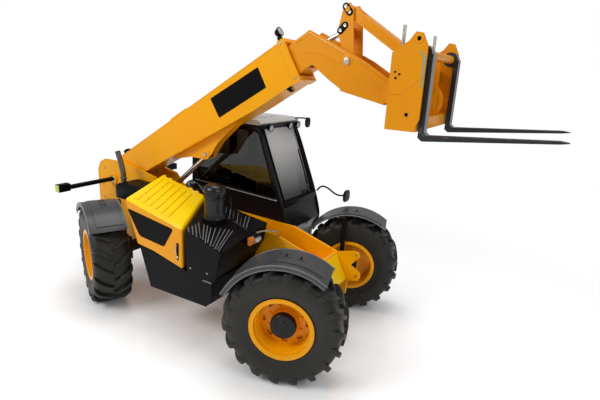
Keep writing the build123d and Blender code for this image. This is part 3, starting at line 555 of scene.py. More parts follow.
def addPlate(form, outline, low, high, place, edge=0.0015, steps=2):
    # a flat outline given thickness, with its edges eased
    bottom = [form.verts.new(place @ Vector((x, y, low))) for x, y in outline]
    top = [form.verts.new(place @ Vector((x, y, high))) for x, y in outline]
    faces = [form.faces.new(bottom[::-1]), form.faces.new(top)]
    for i in range(len(outline)):
        j = (i + 1) % len(outline)
        faces.append(form.faces.new((bottom[i], bottom[j], top[j], top[i])))
    if edge:
        edges = list({e for f in faces for e in f.edges})
        bmesh.ops.bevel(form, geom=edges, offset=edge, segments=steps, profile=0.5, affect="EDGES",
                        clamp_overlap=True)


def addSide(form, outline, low, high, edge=0.0015, steps=2):
    addPlate(form, outline, low, high, sideFrame(), edge, steps)


def addTurned(form, profile, place, count=40, closed=False):
    # a profile of (radius, height) turned around the place's z
    rings = []
    for radius, height in profile:
        if radius < 1e-6:
            rings.append([form.verts.new(place @ Vector((0, 0, height)))])
            continue
        rings.append([form.verts.new(place @ Vector((radius * math.cos(a), radius * math.sin(a), height)))
                      for a in (i * 2 * math.pi / count for i in range(count))])
    pairs = list(zip(rings, rings[1:]))
    if closed:
        pairs.append((rings[-1], rings[0]))
    for lower, upper in pairs:
        for i in range(count):
            j = (i + 1) % count
            face = [lower[i % len(lower)], lower[j % len(lower)], upper[j % len(upper)], upper[i % len(upper)]]
            face = [v for k, v in enumerate(face) if v not in face[:k]]
            if len(face) > 2:
                form.faces.new(face)


def addBoss(form, place, inner, outer, rim, shoulder, top, count=40, foot=-0.001):
    # a ring with a chamfered outer edge
    addTurned(form, ((inner, foot), (outer, foot), (outer, shoulder), (rim, top), (inner, top)), place, count,
              closed=True)


def addTube(form, points, radius, steps=4):
    # a bent bar: a smooth curve that the points steer, filled at its ends
    data = bpy.data.curves.new("bent_bar", "CURVE")
    data.dimensions = "3D"
    data.bevel_depth = radius
    data.bevel_resolution = steps
    data.use_fill_caps = True
    data.resolution_u = 10
    line = data.splines.new("NURBS")
    line.points.add(len(points) - 1)
    for point, place in zip(line.points, points):
        point.co = (*place, 1)
    line.order_u = 3
    line.use_endpoint_u = True
    bar = bpy.data.objects.new("bent_bar", data)
    bpy.context.scene.collection.objects.link(bar)
    mesh = bpy.data.meshes.new_from_object(bar.evaluated_get(bpy.context.evaluated_depsgraph_get()))
    form.from_mesh(mesh)
    bpy.data.objects.remove(bar)
    bpy.data.meshes.remove(mesh)
    bmesh.ops.remove_doubles(form, verts=form.verts, dist=1e-6)


def roundedOutline(points, radius, steps=4):
    # cuts each corner of a flat outline with a short arc
    outline = []
    for i, corner in enumerate(points):
        here, before, after = Vector(corner), Vector(points[i - 1]), Vector(points[(i + 1) % len(points)])
        toBefore, toAfter = before - here, after - here
        reach = min(radius, toBefore.length * 0.45, toAfter.length * 0.45)
        start, end = here + toBefore.normalized() * reach, here + toAfter.normalized() * reach
        for k in range(steps + 1):
            t = k / steps
            point = start * (1 - t) ** 2 + here * 2 * t * (1 - t) + end * t ** 2
            outline.append((point.x, point.y))
    return outline


def makePiece(name, body, form, finish, replaced=(), sharp=32):
    if isinstance(form, bmesh.types.BMesh):
        bmesh.ops.recalc_face_normals(form, faces=form.faces)
        mesh = bpy.data.meshes.new(name)
        form.to_mesh(mesh)
        form.free()
    else:
        mesh = form
        mesh.name = name
    mesh.materials.clear()
    mesh.materials.append(finishes[finish])
    mesh.shade_smooth()
    mesh.set_sharp_from_angle(angle=math.radians(sharp))
    piece = bpy.data.objects.new(name, mesh)
    bpy.context.scene.collection.objects.link(piece)
    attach(piece, body)
    if replaced:
        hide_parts(*replaced)
    return piece


def turnedPiece(name, body, finish, place, shapes):
    # shapes: profile, how many sides, whether the profile closes on itself
    form = bmesh.new()
    for profile, count, closed in shapes:
        addTurned(form, profile, place, count, closed)
    makePiece(name, body, form, finish)


def barPiece(name, body, finish, bars):
    # bars: the points that steer it, radius, steps around a quarter
    form = bmesh.new()
    for points, radius, steps in bars:
        addTube(form, points, radius, steps)
    makePiece(name, body, form, finish)


# node trees for what repeats

def openTree(name, sockets):
    tree = bpy.data.node_groups.new(name, "GeometryNodeTree")
    tree.interface.new_socket("Geometry", in_out="OUTPUT", socket_type="NodeSocketGeometry")
    for label, kind in sockets:
        tree.interface.new_socket(label, in_out="INPUT", socket_type="NodeSocket" + kind)
    return tree, addNode(tree, "NodeGroupInput")


def closeTree(tree, entry, geometry):
    real = addNode(tree, "GeometryNodeRealizeInstances", {"Geometry": geometry})
    painted = addNode(tree, "GeometryNodeSetMaterial", {"Geometry": real.outputs[0],
                                                        "Material": entry.outputs["Finish"]})
    addNode(tree, "NodeGroupOutput", {"Geometry": painted.outputs[0]})


def ringTree():
    # copies of one piece turned evenly around z
    tree, entry = openTree("ringOfPieces", (("Piece", "Object"), ("Count", "Int"), ("Start", "Float"),
                                            ("Finish", "Material")))
    order = addNode(tree, "GeometryNodeInputIndex")
    step = addNode(tree, "ShaderNodeMath", {0: 2 * math.pi, 1: entry.outputs["Count"]}, operation="DIVIDE")
    turn = addNode(tree, "ShaderNodeMath", {0: order.outputs[0], 1: step.outputs[0], 2: entry.outputs["Start"]},
                   operation="MULTIPLY_ADD")
    angles = addNode(tree, "ShaderNodeCombineXYZ", {"Z": turn.outputs[0]})
    rotation = addNode(tree, "FunctionNodeEulerToRotation", {0: angles.outputs[0]})
    points = addNode(tree, "GeometryNodePoints", {"Count": entry.outputs["Count"]})
    piece = addNode(tree, "GeometryNodeObjectInfo", {"Object": entry.outputs["Piece"]})
    copies = addNode(tree, "GeometryNodeInstanceOnPoints", {
        "Points": points.outputs[0], "Instance": piece.outputs["Geometry"], "Rotation": rotation.outputs[0]})
    closeTree(tree, entry, copies.outputs[0])
    return tree


def rowTree():
    # copies of one piece evenly spaced from one place to another
    tree, entry = openTree("rowOfPieces", (("Piece", "Object"), ("Count", "Int"), ("From", "Vector"),
                                           ("To", "Vector"), ("Finish", "Material")))
    order = addNode(tree, "GeometryNodeInputIndex")
    last = addNode(tree, "ShaderNodeMath", {0: entry.outputs["Count"], 1: 1.0}, operation="SUBTRACT")
    share = addNode(tree, "ShaderNodeMath", {0: order.outputs[0], 1: last.outputs[0]}, operation="DIVIDE")
    place = addNode(tree, "ShaderNodeMix", {0: share.outputs[0], 4: entry.outputs["From"], 5: entry.outputs["To"]},
                    data_type="VECTOR")
    points = addNode(tree, "GeometryNodePoints", {"Count": entry.outputs["Count"], "Position": place.outputs[1]})
    piece = addNode(tree, "GeometryNodeObjectInfo", {"Object": entry.outputs["Piece"]})
    copies = addNode(tree, "GeometryNodeInstanceOnPoints", {
        "Points": points.outputs[0], "Instance": piece.outputs["Geometry"]})
    closeTree(tree, entry, copies.outputs[0])
    return tree


def fastenerTree():
    # one fastener on each corner of a guide mesh, sized and aimed by the guide's attributes
    tree, entry = openTree("fastenersOnGuide", (("Guide", "Geometry"), ("Piece", "Object"), ("Finish", "Material")))
    aim = addNode(tree, "GeometryNodeInputNamedAttribute", {"Name": "aim"}, data_type="FLOAT_VECTOR")
    size = addNode(tree, "GeometryNodeInputNamedAttribute", {"Name": "size"}, data_type="FLOAT")
    rotation = addNode(tree, "FunctionNodeAlignRotationToVector", {"Vector": aim.outputs[0]}, axis="Z")
    piece = addNode(tree, "GeometryNodeObjectInfo", {"Object": entry.outputs["Piece"]})
    copies = addNode(tree, "GeometryNodeInstanceOnPoints", {
        "Points": entry.outputs["Guide"], "Instance": piece.outputs["Geometry"],
        "Rotation": rotation.outputs[0], "Scale": size.outputs[0]})
    closeTree(tree, entry, copies.outputs[0])
    return tree


trees = {"ring": ringTree(), "row": rowTree(), "fasteners": fastenerTree()}
samples = []


def sampleOf(name, form):
    # a piece that a tree copies; it is taken out again at the end
    bmesh.ops.recalc_face_normals(form, faces=form.faces)
    mesh = bpy.data.meshes.new(name)
    form.to_mesh(mesh)
    form.free()
    sample = bpy.data.objects.new(name, mesh)
    bpy.context.scene.collection.objects.link(sample)
    samples.append(sample)
    return sample


def grow(treeName, inputs, guide=None):
    tree = trees[treeName]
    carrier = bpy.data.objects.new("carrier", guide or bpy.data.meshes.new("carrier"))
    bpy.context.scene.collection.objects.link(carrier)
    modifier = carrier.modifiers.new("repeat", "NODES")
    modifier.node_group = tree
    for item in tree.interface.items_tree:
        if item.item_type == "SOCKET" and item.in_out == "INPUT" and item.name in inputs:
            modifier[item.identifier] = inputs[item.name]
    mesh = bpy.data.meshes.new_from_object(carrier.evaluated_get(bpy.context.evaluated_depsgraph_get()))
    bpy.data.objects.remove(carrier)
    return mesh


def takeMesh(form, mesh):
    form.from_mesh(mesh)
    bpy.data.meshes.remove(mesh)


# a washer and a six-sided head, both as shares of the head's radius
boltHead = bmesh.new()
addTurned(boltHead, ((0, 0), (1.25, 0), (1.25, 0.16), (1.0, 0.17), (0, 0.17)), unturned, 20)
addTurned(boltHead, ((0, 0.1), (1.0, 0.1), (1.0, 0.72), (0.9, 0.82), (0, 0.82)), unturned, 6)
boltSample = sampleOf("bolt_sample", boltHead)


def boltsOn(name, body, table):
    # table rows: place, aim, head radius in metres
    guide = bpy.data.meshes.new("guide")
    guide.from_pydata([tuple(place) for place, aim, size in table], [], [])
    guide.attributes.new("aim", "FLOAT_VECTOR", "POINT").data.foreach_set(
        "vector", [c for place, aim, size in table for c in aim])
    guide.attributes.new("size", "FLOAT", "POINT").data.foreach_set("value", [size for place, aim, size in table])
    mesh = grow("fasteners", {"Piece": boltSample, "Finish": finishes["zincPlate"]}, guide)
    makePiece(name, body, mesh, "zincPlate", sharp=28)


# tyres, hubs and rims

tyreSetup = {
    "lugCount": 18,
    # across, around, half width at the top and at the foot, radius at the top and at the foot
    "lugLine": ((0.008, 0.066, 0.019, 0.029, 0.6395, 0.594), (0.060, 0.044, 0.022, 0.033, 0.6395, 0.594),
                (0.120, 0.006, 0.025, 0.037, 0.6385, 0.591), (0.172, -0.036, 0.028, 0.039, 0.636, 0.584),
                (0.206, -0.066, 0.029, 0.038, 0.622, 0.567), (0.2235, -0.080, 0.029, 0.036, 0.598, 0.540),
                (0.2285, -0.086, 0.026, 0.032, 0.562, 0.520), (0.2265, -0.090, 0.015, 0.018, 0.520, 0.500)),
    "pitchRadius": 0.62, "lugEdge": 0.006, "facets": 90,
    # radius, distance from the tyre's middle
    "carcass": ((0.603, 0.0), (0.602, 0.09), (0.597, 0.15), (0.586, 0.188), (0.566, 0.210), (0.540, 0.221),
                (0.505, 0.226), (0.470, 0.2265), (0.440, 0.2245), (0.425, 0.2225), (0.421, 0.2205), (0.410, 0.2195),
                (0.385, 0.212), (0.366, 0.2035), (0.362, 0.2045), (0.354, 0.2015), (0.345, 0.194), (0.336, 0.189),
                (0.322, 0.186), (0.3065, 0.180), (0.3065, 0.150), (0.330, 0.155), (0.420, 0.190), (0.520, 0.195),
                (0.570, 0.150), (0.580, 0.0)),
}
hubSetup = {
    # radius, distance out from the wheel's middle
    "cap": ((0.0, 0.079), (0.120, 0.079), (0.136, 0.083), (0.137, 0.112), (0.132, 0.120), (0.131, 0.141),
            (0.124, 0.1465), (0.062, 0.1465), (0.058, 0.151), (0.022, 0.152), (0.0, 0.152)),
    "rolledEdge": ((0.334, 0.197), (0.3385, 0.2005), (0.3395, 0.2045), (0.336, 0.2075), (0.331, 0.2075),
                   (0.3275, 0.204), (0.3285, 0.199)),
    "barrelStep": ((0.292, 0.150), (0.281, 0.147), (0.278, 0.140), (0.2765, 0.090), (0.270, 0.072), (0.2665, 0.040),
                   (0.262, 0.0205), (0.290, 0.0205)),
    "weld": ((0.1395, 0.0205), (0.152, 0.0205), (0.1475, 0.034), (0.141, 0.040)),
    # seen through the disc's hand holes
    "drum": ((0.060, -0.022), (0.262, -0.022), (0.262, -0.012), (0.060, -0.012)),
    "valve": ((0.0, 0.02), (0.008, 0.02), (0.008, 0.05), (0.005, 0.055), (0.005, 0.075), (0.0, 0.076)),
    "valveRadius": 0.245, "valveTurn": 0.6,
}


def lugSample(setup, wall):
    # one lug, from the middle of the tread down over the side wall
    form = bmesh.new()
    rows = []
    for across, around, halfTop, halfFoot, top, foot in setup["lugLine"]:
        ring = []
        for radius, half in ((top, -halfTop), (top, halfTop), (foot, halfFoot), (foot, -halfFoot)):
            angle = (around + half) / setup["pitchRadius"]
            ring.append(form.verts.new((radius * math.cos(angle), radius * math.sin(angle), wall * across)))
        rows.append(ring)
    form.faces.new(rows[0])
    form.faces.new(rows[-1][::-1])
    for lower, upper in zip(rows, rows[1:]):
        for i in range(4):
            j = (i + 1) % 4
            form.faces.new((lower[i], lower[j], upper[j], upper[i]))
    tops = [form.edges.get((a[i], b[i])) for a, b in zip(rows, rows[1:]) for i in (0, 1)]
    tops += [form.edges.get((rows[k][0], rows[k][1])) for k in (0, -1)]
    bmesh.ops.bevel(form, geom=tops, offset=setup["lugEdge"], segments=2, profile=0.6, affect="EDGES",
                    clamp_overlap=True)
    return sampleOf("lug_sample", form)


lugSamples = {wall: lugSample(tyreSetup, wall) for wall in (1, -1)}
lugPitch = 2 * math.pi / tyreSetup["lugCount"]


def wheelFrame(corner):
    joint = next(j for j in frame["joints"] if j["name"] == "spin_" + corner)
    side = 1 if corner.endswith("left") else -1
    outward = Vector(joint["axis"]).normalized()
    if outward.y * side < 0:
        outward = -outward
    return frameOf(Vector(joint["pos_m"]), straightUp.cross(outward), straightUp), side


valveTurn = hubSetup["valveTurn"]
valvePlace = Matrix.Translation(Vector((math.cos(valveTurn), math.sin(valveTurn), 0)) * hubSetup["valveRadius"])
for corner in corners:
    place, side = wheelFrame(corner)
    wheel = "wheel_" + corner
    form = bmesh.new()
    wallLine = tyreSetup["carcass"]
    ring = [*wallLine, *((radius, -across) for radius, across in wallLine[-2:0:-1])]
    addTurned(form, ring, unturned, tyreSetup["facets"], closed=True)
    for wall, lug in lugSamples.items():
        # the two sides' lugs stand half a pitch apart
        start = (1 + wall) / 4 * lugPitch - math.pi / 2
        takeMesh(form, grow("ring", {"Piece": lug, "Count": tyreSetup["lugCount"], "Start": start,
                                     "Finish": finishes["tyreRubber"]}))
    bmesh.ops.transform(form, matrix=place @ Matrix.Diagonal((side, 1, 1, 1)), verts=form.verts)
    makePiece("tyre_rubber_" + corner, wheel, form, "tyreRubber", ("tyre_" + corner,), 40)
    turnedPiece("hub_cap_" + corner, wheel, "blackEnamel", place, [(hubSetup["cap"], 56, False)])
    turnedPiece("rim_rings_" + corner, wheel, "orangeEnamel", place, [
        (hubSetup[part], count, True) for part, count in (("rolledEdge", 72), ("barrelStep", 72), ("weld", 56),
                                                          ("drum", 56))])
    turnedPiece("valve_" + corner, wheel, "zincPlate", place @ valvePlace,
                [(hubSetup["valve"], 12, False)])
print("wheels dressed")

# hood, its panel and latch

hoodSetup = {
    "outline": ((-1.100, 1.800), (-1.100, 1.500), (-0.765, 1.500), (-0.598, 1.046), (-0.300, 1.012), (0.190, 0.905),
                (0.160, 1.366), (0.160, 1.800)),
    "outerY": -1.0900, "innerY": -0.3000,
    "top": ((-0.760, -1.090, 1.567), (0.2, -0.08, 1.0)),
    "rear": ((-0.765, -1.090, 1.0), (-1.0, -0.3, 0.0)),
    "front": ((0.155, -1.090, 1.0), (1.0, 0.48, 0.0)),
    "round": 0.036, "wall": 0.006,
    "ribs": {"count": 6, "first": 0.062, "pitch": 0.104, "width": 0.066, "across": (0.075, 0.715), "sweep": -0.260,
             "foot": -0.004, "crown": 0.0068, "edge": 0.0045},
    "panel": ((-0.728, 1.451), (0.020, 1.353), (-0.131, 1.108), (-0.533, 1.146)),
    "hinge": (-0.760, -0.284, 1.624), "hingeStarts": (-0.420, 0.060), "knuckle": 0.110,
    "recess": ((0.062, 1.205), (0.100, 1.205), (0.092, 1.000), (0.066, 1.000)),
    "handle": ((0.080, -1.092, 1.180), (0.080, -1.114, 1.176), (0.080, -1.118, 1.150), (0.080, -1.118, 1.110),
               (0.080, -1.114, 1.084), (0.080, -1.092, 1.080)),
    "lock": ((0, -0.001), (0.014, -0.001), (0.014, 0.006), (0.010, 0.009), (0, 0.009)),
    "lockPlace": (0.079, -1.092, 1.036),
}


def buildHood(setup):
    form = bmesh.new()
    addPlate(form, setup["outline"], -setup["innerY"], -setup["outerY"], sideFrame(), 0)
    for point, normal in (setup["top"], setup["rear"], setup["front"]):
        geom = list(form.verts) + list(form.edges) + list(form.faces)
        cut = bmesh.ops.bisect_plane(form, geom=geom, plane_co=spot(*point), plane_no=Vector(normal),
                                     clear_outer=True)
        edges = [e for e in cut["geom_cut"] if isinstance(e, bmesh.types.BMEdge)]
        bmesh.ops.contextual_create(form, geom=edges)
    bmesh.ops.remove_doubles(form, verts=form.verts, dist=1e-5)
    bmesh.ops.recalc_face_normals(form, faces=form.faces)
    form.normal_update()
    # the boom's side and the underside stay open
    gone = [f for f in form.faces if f.normal.y > 0.99 or f.normal.z < -0.9]
    bmesh.ops.delete(form, geom=gone, context="FACES")
    folds = [e for e in form.edges if len(e.link_faces) == 2 and e.calc_face_angle() > 0.3]
    bmesh.ops.bevel(form, geom=folds, offset=setup["round"], segments=6, profile=0.5, affect="EDGES",
                    clamp_overlap=True)
    mesh = bpy.data.meshes.new("hood_shell")
    form.to_mesh(mesh)
    form.free()
    shell = bpy.data.objects.new("hood_shell", mesh)
    bpy.context.scene.collection.objects.link(shell)
    wall = shell.modifiers.new("wall", "SOLIDIFY")
    wall.thickness = setup["wall"]
    wall.offset = -1
    solid = bpy.data.meshes.new_from_object(shell.evaluated_get(bpy.context.evaluated_depsgraph_get()))
    bpy.data.objects.remove(shell)
    form = bmesh.new()
    takeMesh(form, solid)
    # pressed ribs behind the smooth front band
    upward = Vector(setup["top"][1]).normalized()
    forward = Vector((1, 0, -0.2)).normalized()
    topFrame = frameOf(spot(*setup["top"][0]), forward, upward.cross(forward))
    ribs = setup["ribs"]
    near, far = ribs["across"]
    for rib in range(ribs["count"]):
        x = ribs["first"] + ribs["pitch"] * rib
        swept = x + ribs["sweep"]
        outline = ((x, near), (x + ribs["width"], near), (swept + ribs["width"], far), (swept, far))
        addPlate(form, roundedOutline(outline, 0.02, 3), ribs["foot"], ribs["crown"], topFrame, ribs["edge"], 3)
    hingeAxis = Vector((-1, 0, 0.2)).normalized()
    origin = spot(*setup["hinge"])
    for start in setup["hingeStarts"]:
        for low in (start, start + setup["knuckle"]):
            leaf = aimedFrame(origin + hingeAxis * low, hingeAxis, acrossRight)
            addTurned(form, rectangle(0.0062, 0, 0.012, 0.050), leaf, 20, closed=True)
            plain = frameOf(origin + hingeAxis * low, acrossRight, hingeAxis.cross(acrossRight))
            addPlate(form, ((0.0105, -0.0085), (0.032, -0.0095), (0.032, -0.001), (0.0105, 0.0)), 0, 0.05, plain, 0)
    return form


makePiece("hood_panels", "hood", buildHood(hoodSetup), "hoodEnamel", ("hood",), 30)

side = sideFrame(hoodSetup["outerY"])
for name, outline, ease, high, edge, finish in (
        ("hood_side_panel", hoodSetup["panel"], 0.035, 0.0022, 0.0008, "decalFilm"),
        # painted shade: a black plate laid on the hood where the latch's recess lies dark
        ("latch_recess", hoodSetup["recess"], 0.012, 0.003, 0.001, "blackMoulding")):
    form = bmesh.new()
    addPlate(form, roundedOutline(outline, ease), -0.0005, high, side, edge, 1)
    makePiece(name, "hood", form, finish)

form = bmesh.new()
addTube(form, spots(*hoodSetup["handle"]), 0.007)
addTurned(form, hoodSetup["lock"], aimedFrame(spot(*hoodSetup["lockPlace"]), acrossRight), 24)
makePiece("hood_latch", "hood", form, "zincPlate")

# air intake and the pod's deck

intakeSetup = {
    "place": (0.240, -0.655, 0),
    "profile": ((0.0, 1.400), (0.128, 1.400), (0.1385, 1.425), (0.131, 1.445), (0.123, 1.475), (0.1195, 1.520),
                (0.1195, 1.660), (0.1225, 1.6605), (0.1245, 1.664), (0.1245, 1.668), (0.1215, 1.671),
                (0.1215, 1.679), (0.127, 1.682), (0.1295, 1.690), (0.1295, 1.742), (0.127, 1.766), (0.119, 1.790),
                (0.104, 1.808), (0.080, 1.821), (0.045, 1.829), (0.0, 1.832)),
    "slots": 30, "slot": rectangle(-0.004, 0.0, 0.004, 0.052), "slotFoot": 1.688,
}
intake = Matrix.Translation(spot(*intakeSetup["place"]))
form = bmesh.new()
addTurned(form, intakeSetup["profile"], intake, 72)
makePiece("intake_tower", "chassis", form, "glossMoulding", ("air_intake",), 40)

slot = bmesh.new()
addPlate(slot, roundedOutline(intakeSetup["slot"], 0.003, 2), 0.126, 0.1312,
         frameOf(Vector((0, 0, intakeSetup["slotFoot"])), -acrossRight, straightUp), 0.001, 1)
slots = grow("ring", {"Piece": sampleOf("intake_slot", slot), "Count": intakeSetup["slots"], "Start": 0.0,
                      "Finish": finishes["blackMoulding"]})
slots.transform(intake)
makePiece("intake_slots", "chassis", slots, "blackMoulding")

barPiece("lamp_stay", "chassis", "blackEnamel", [
    (spots((0.500, -0.610, 1.290), (0.470, -0.600, 1.430), (0.425, -0.585, 1.560), (0.405, -0.580, 1.700)), 0.007, 4),
    (spots((0.470, -0.600, 1.418), (0.560, -0.600, 1.400), (0.640, -0.600, 1.362), (0.690, -0.602, 1.318)), 0.007, 4),
])

# crowned slats on the deck's ribs and between them, laid on the deck where it stands; their light grey is painted
# highlight along the black ribs
deckSetup = {
    # x and y of the inner end, then of the outer end
    "slats": (
        (0.160, -1.000, 0.225, -1.062), (0.160, -0.940, 0.285, -1.060), (0.160, -0.885, 0.338, -1.058),
        (0.150, -0.830, 0.388, -1.055), (0.212, -0.800, 0.427, -1.060), (0.262, -0.800, 0.459, -1.060),
        (0.312, -0.795, 0.492, -1.060), (0.358, -0.775, 0.526, -1.060), (0.404, -0.740, 0.560, -1.060),
        (0.444, -0.710, 0.591, -1.060), (0.484, -0.690, 0.622, -1.060), (0.524, -0.680, 0.645, -1.060),
        (0.160, -0.345, 0.280, -0.520), (0.220, -0.345, 0.345, -0.525), (0.280, -0.345, 0.410, -0.530),
        (0.340, -0.345, 0.470, -0.540), (0.400, -0.345, 0.530, -0.550), (0.455, -0.345, 0.580, -0.560),
        (0.510, -0.345, 0.630, -0.570)),
    "radius": 0.0055, "stations": 7, "proud": 0.002,
    "from": 2.0, "highest": 1.55,       # looks down from here; higher than this it is the intake's foot
    "trim": ((0.205, -1.084, 1.372), (0.300, -1.084, 1.345), (0.420, -1.084, 1.306), (0.560, -1.084, 1.262),
             (0.655, -1.080, 1.235), (0.684, -1.040, 1.232)),
}


def addSlat(form, deck, start, end, setup):
    # a half-round bar that follows the deck's top
    points = []
    for k in range(setup["stations"]):
        flat = start.lerp(end, k / (setup["stations"] - 1))
        found, top = deck.ray_cast(spot(flat.x, flat.y, setup["from"]), -straightUp)[:2]
        if found and top.z < setup["highest"]:
            points.append(top + straightUp * setup["proud"])
    if len(points) > 2:
        addTube(form, points, setup["radius"], 2)


form = bmesh.new()
for slat in deckSetup["slats"]:
    addSlat(form, frame["nodes"]["engine_housing"], Vector(slat[:2]), Vector(slat[2:]), deckSetup)
makePiece("deck_slats", "chassis", form, "ribCrown")
barPiece("deck_trim", "chassis", "blackMoulding", [(spots(*deckSetup["trim"]), 0.009, 4)])
print("hood and intake dressed")

# lamps

def lampOn(name, body, place, size, depth):
    # a round work lamp that looks along the place's z: housing with fins, bezel, bowl and fluted lens
    case, bowl, lens = bmesh.new(), bmesh.new(), bmesh.new()
    addTurned(case, ((0, -depth), (size * 0.45, -depth), (size * 0.62, -depth * 0.9), (size * 0.9, -depth * 0.3),
                     (size * 0.97, -depth * 0.12), (size, -0.002), (size, 0.004), (size * 0.96, 0.006),
                     (size * 0.86, 0.004), (size * 0.86, -0.004), (0, -0.004)), place, 48)
    for turn in range(6):
        fin = place @ Matrix.Rotation(turn * math.pi / 3 + 0.4, 4, "Z")
        addPlate(case, ((size * 0.40, -depth * 0.98), (size * 0.86, -depth * 0.52), (size * 0.90, -depth * 0.2),
                        (size * 0.4, -depth * 0.4)), -0.0015, 0.0015,
                 fin @ frameOf(Vector(), straightAhead, straightUp), 0)
    addTurned(bowl, ((0, -0.0035), (size * 0.3, -0.0035), (size * 0.84, 0.0005), (size * 0.84, -0.0038),
                     (0, -0.0038)), place, 40)
    addTurned(lens, ((0, 0.0062), (size * 0.4, 0.0055), (size * 0.7, 0.0035), (size * 0.85, 0.001),
                     (size * 0.85, -0.001), (size * 0.3, 0.0015), (0, 0.002)), place, 40)
    makePiece(name + "_case", body, case, "blackMoulding")
    makePiece(name + "_bowl", body, bowl, "reflectorBowl")
    makePiece(name + "_lens", body, lens, "clearLens")


lampSetup = {
    "roofY": (0.330, 0.800, 1.000), "roofX": 0.322, "roofZ": 2.391, "roofRadius": 0.050, "roofDepth": 0.058,
    "boom": (
        # name, place on the boom, radius, depth
        ("boom_top_lamp", (3.504, 0.330, -0.150), 0.052, 0.062),
        ("boom_low_lamp", (3.358, -0.272, -0.139), 0.026, 0.05),
    ),
    "boomFeet": (
        # outline in the boom's frame, its two heights, edge, steps
        (((3.446, 0.2485), (3.492, 0.2485), (3.486, 0.285), (3.452, 0.285)), 0.118, 0.182, 0.003, 2),
        (((0.352, 0.2355), (0.438, 0.2355), (0.438, 0.290), (0.364, 0.290)), 0.062, 0.138, 0.008, 3),
        (((3.292, -0.2395), (3.352, -0.238), (3.340, -0.262), (3.300, -0.262)), 0.122, 0.156, 0.002, 2),
    ),
    "turnLamp": ((0.7525, 1.218), (0.790, 1.220), (0.813, 1.250), (0.809, 1.292), (0.786, 1.314), (0.7525, 1.314)),
    "headlamp": ((0.7525, 1.219), (0.792, 1.221), (0.814, 1.252), (0.810, 1.280), (0.790, 1.300), (0.7525, 1.306)),
    "bowl": ((0, 0.0), (0.018, 0.001), (0.034, 0.012), (0.041, 0.030), (0.043, 0.030), (0.036, 0.010),
             (0.018, -0.002), (0, -0.003)),
    "arm": ((0.735, -0.524, 1.316), (0.760, -0.440, 1.322), (0.800, -0.330, 1.300), (0.836, -0.212, 1.262)),
    "armFoot": ((0.812, 1.222), (0.862, 1.222), (0.862, 1.205), (0.812, 1.208)),
    "barX": -2.200, "barZ": (1.386, 1.464), "brake": (0.905, 0.975), "turn": (0.982, 1.030),
    "reflector": rectangle(-2.194, 1.381, -2.116, 1.469),
}
feet = bmesh.new()
for index, y in enumerate(lampSetup["roofY"]):
    x, z = lampSetup["roofX"], lampSetup["roofZ"]
    lampOn("roof_lamp_%d" % index, "chassis", aimedFrame(spot(x, y, z), (1, 0, -0.15)),
           lampSetup["roofRadius"], lampSetup["roofDepth"])
    addSide(feet, ((x - 0.052, z - 0.006), (x - 0.006, z - 0.012), (x - 0.004, z + 0.050), (x - 0.050, z + 0.052)),
            *around(y, 0.012), 0.002)
makePiece("roof_lamp_feet", "chassis", feet, "blackMoulding", ("work_lamps",))

for name, place, radius, depth in lampSetup["boom"]:
    lampOn(name, "boom", aimedFrame(onBoom(*place), boomAlong, boomUp), radius, depth)
form = bmesh.new()
for outline, low, high, edge, steps in lampSetup["boomFeet"]:
    addPlate(form, outline, low, high, boomFrame(), edge, steps)
makePiece("boom_lamp_feet", "boom", form, "blackMoulding", ("boom_lamps",))

# front corner: amber turn lamp outside, clear headlamp beside it
form = bmesh.new()
addSide(form, roundedOutline(rectangle(0.727, 1.214, 0.752, 1.318), 0.008), 0.524, 0.697, 0.003)
addSide(form, ((0.729, 1.3160), (0.812, 1.302), (0.812, 1.306), (0.729, 1.3198)), 0.524, 0.640, 0.0008, 1)
makePiece("headlamp_case", "chassis", form, "blackMoulding")
for name, outline, ease, low, high, finish, replaced in (
        ("turn_lamp", "turnLamp", 0.018, 0.634, 0.699, "amberLens", ()),
        ("headlamp", "headlamp", 0.015, 0.5215, 0.629, "clearLens", ("headlamps",))):
    form = bmesh.new()
    addSide(form, roundedOutline(lampSetup[outline], ease, 5), low, high, 0.007, 3)
    makePiece(name, "chassis", form, finish, replaced, 40)
turnedPiece("headlamp_bowl", "chassis", "reflectorBowl",
            aimedFrame(spot(0.7540, -0.575, 1.262), straightAhead), [(lampSetup["bowl"], 36, False)])
form = bmesh.new()
addTube(form, spots(*lampSetup["arm"]), 0.010)
addSide(form, roundedOutline(lampSetup["armFoot"], 0.004, 2), 0.2105, 0.2165, 0.001, 1)
makePiece("lamp_arm", "chassis", form, "zincPlate")

# rear lamps in the bars' ends
brake, turning, lime = bmesh.new(), bmesh.new(), bmesh.new()
barFrame = frameOf(spot(lampSetup["barX"], 0, 0), acrossRight, straightUp)
low, high = lampSetup["barZ"]
for way in (1, -1):
    for form, (near, far) in ((brake, lampSetup["brake"]), (turning, lampSetup["turn"])):
        addPlate(form, roundedOutline(rectangle(way * near, low, way * far, high), 0.01), -0.001, 0.009, barFrame,
                 0.003, 2)
    addSide(lime, roundedOutline(lampSetup["reflector"], 0.012), way * 1.0605, way * 1.0675, 0.002, 2)
makePiece("rear_brake_lamps", "chassis", brake, "redLens")
makePiece("rear_turn_lamps", "chassis", turning, "amberLens")
makePiece("side_reflectors", "chassis", lime, "limeReflector")
print("lamps dressed")

# cab: panes, pillars, seals, wiper, rails, handle, mirror

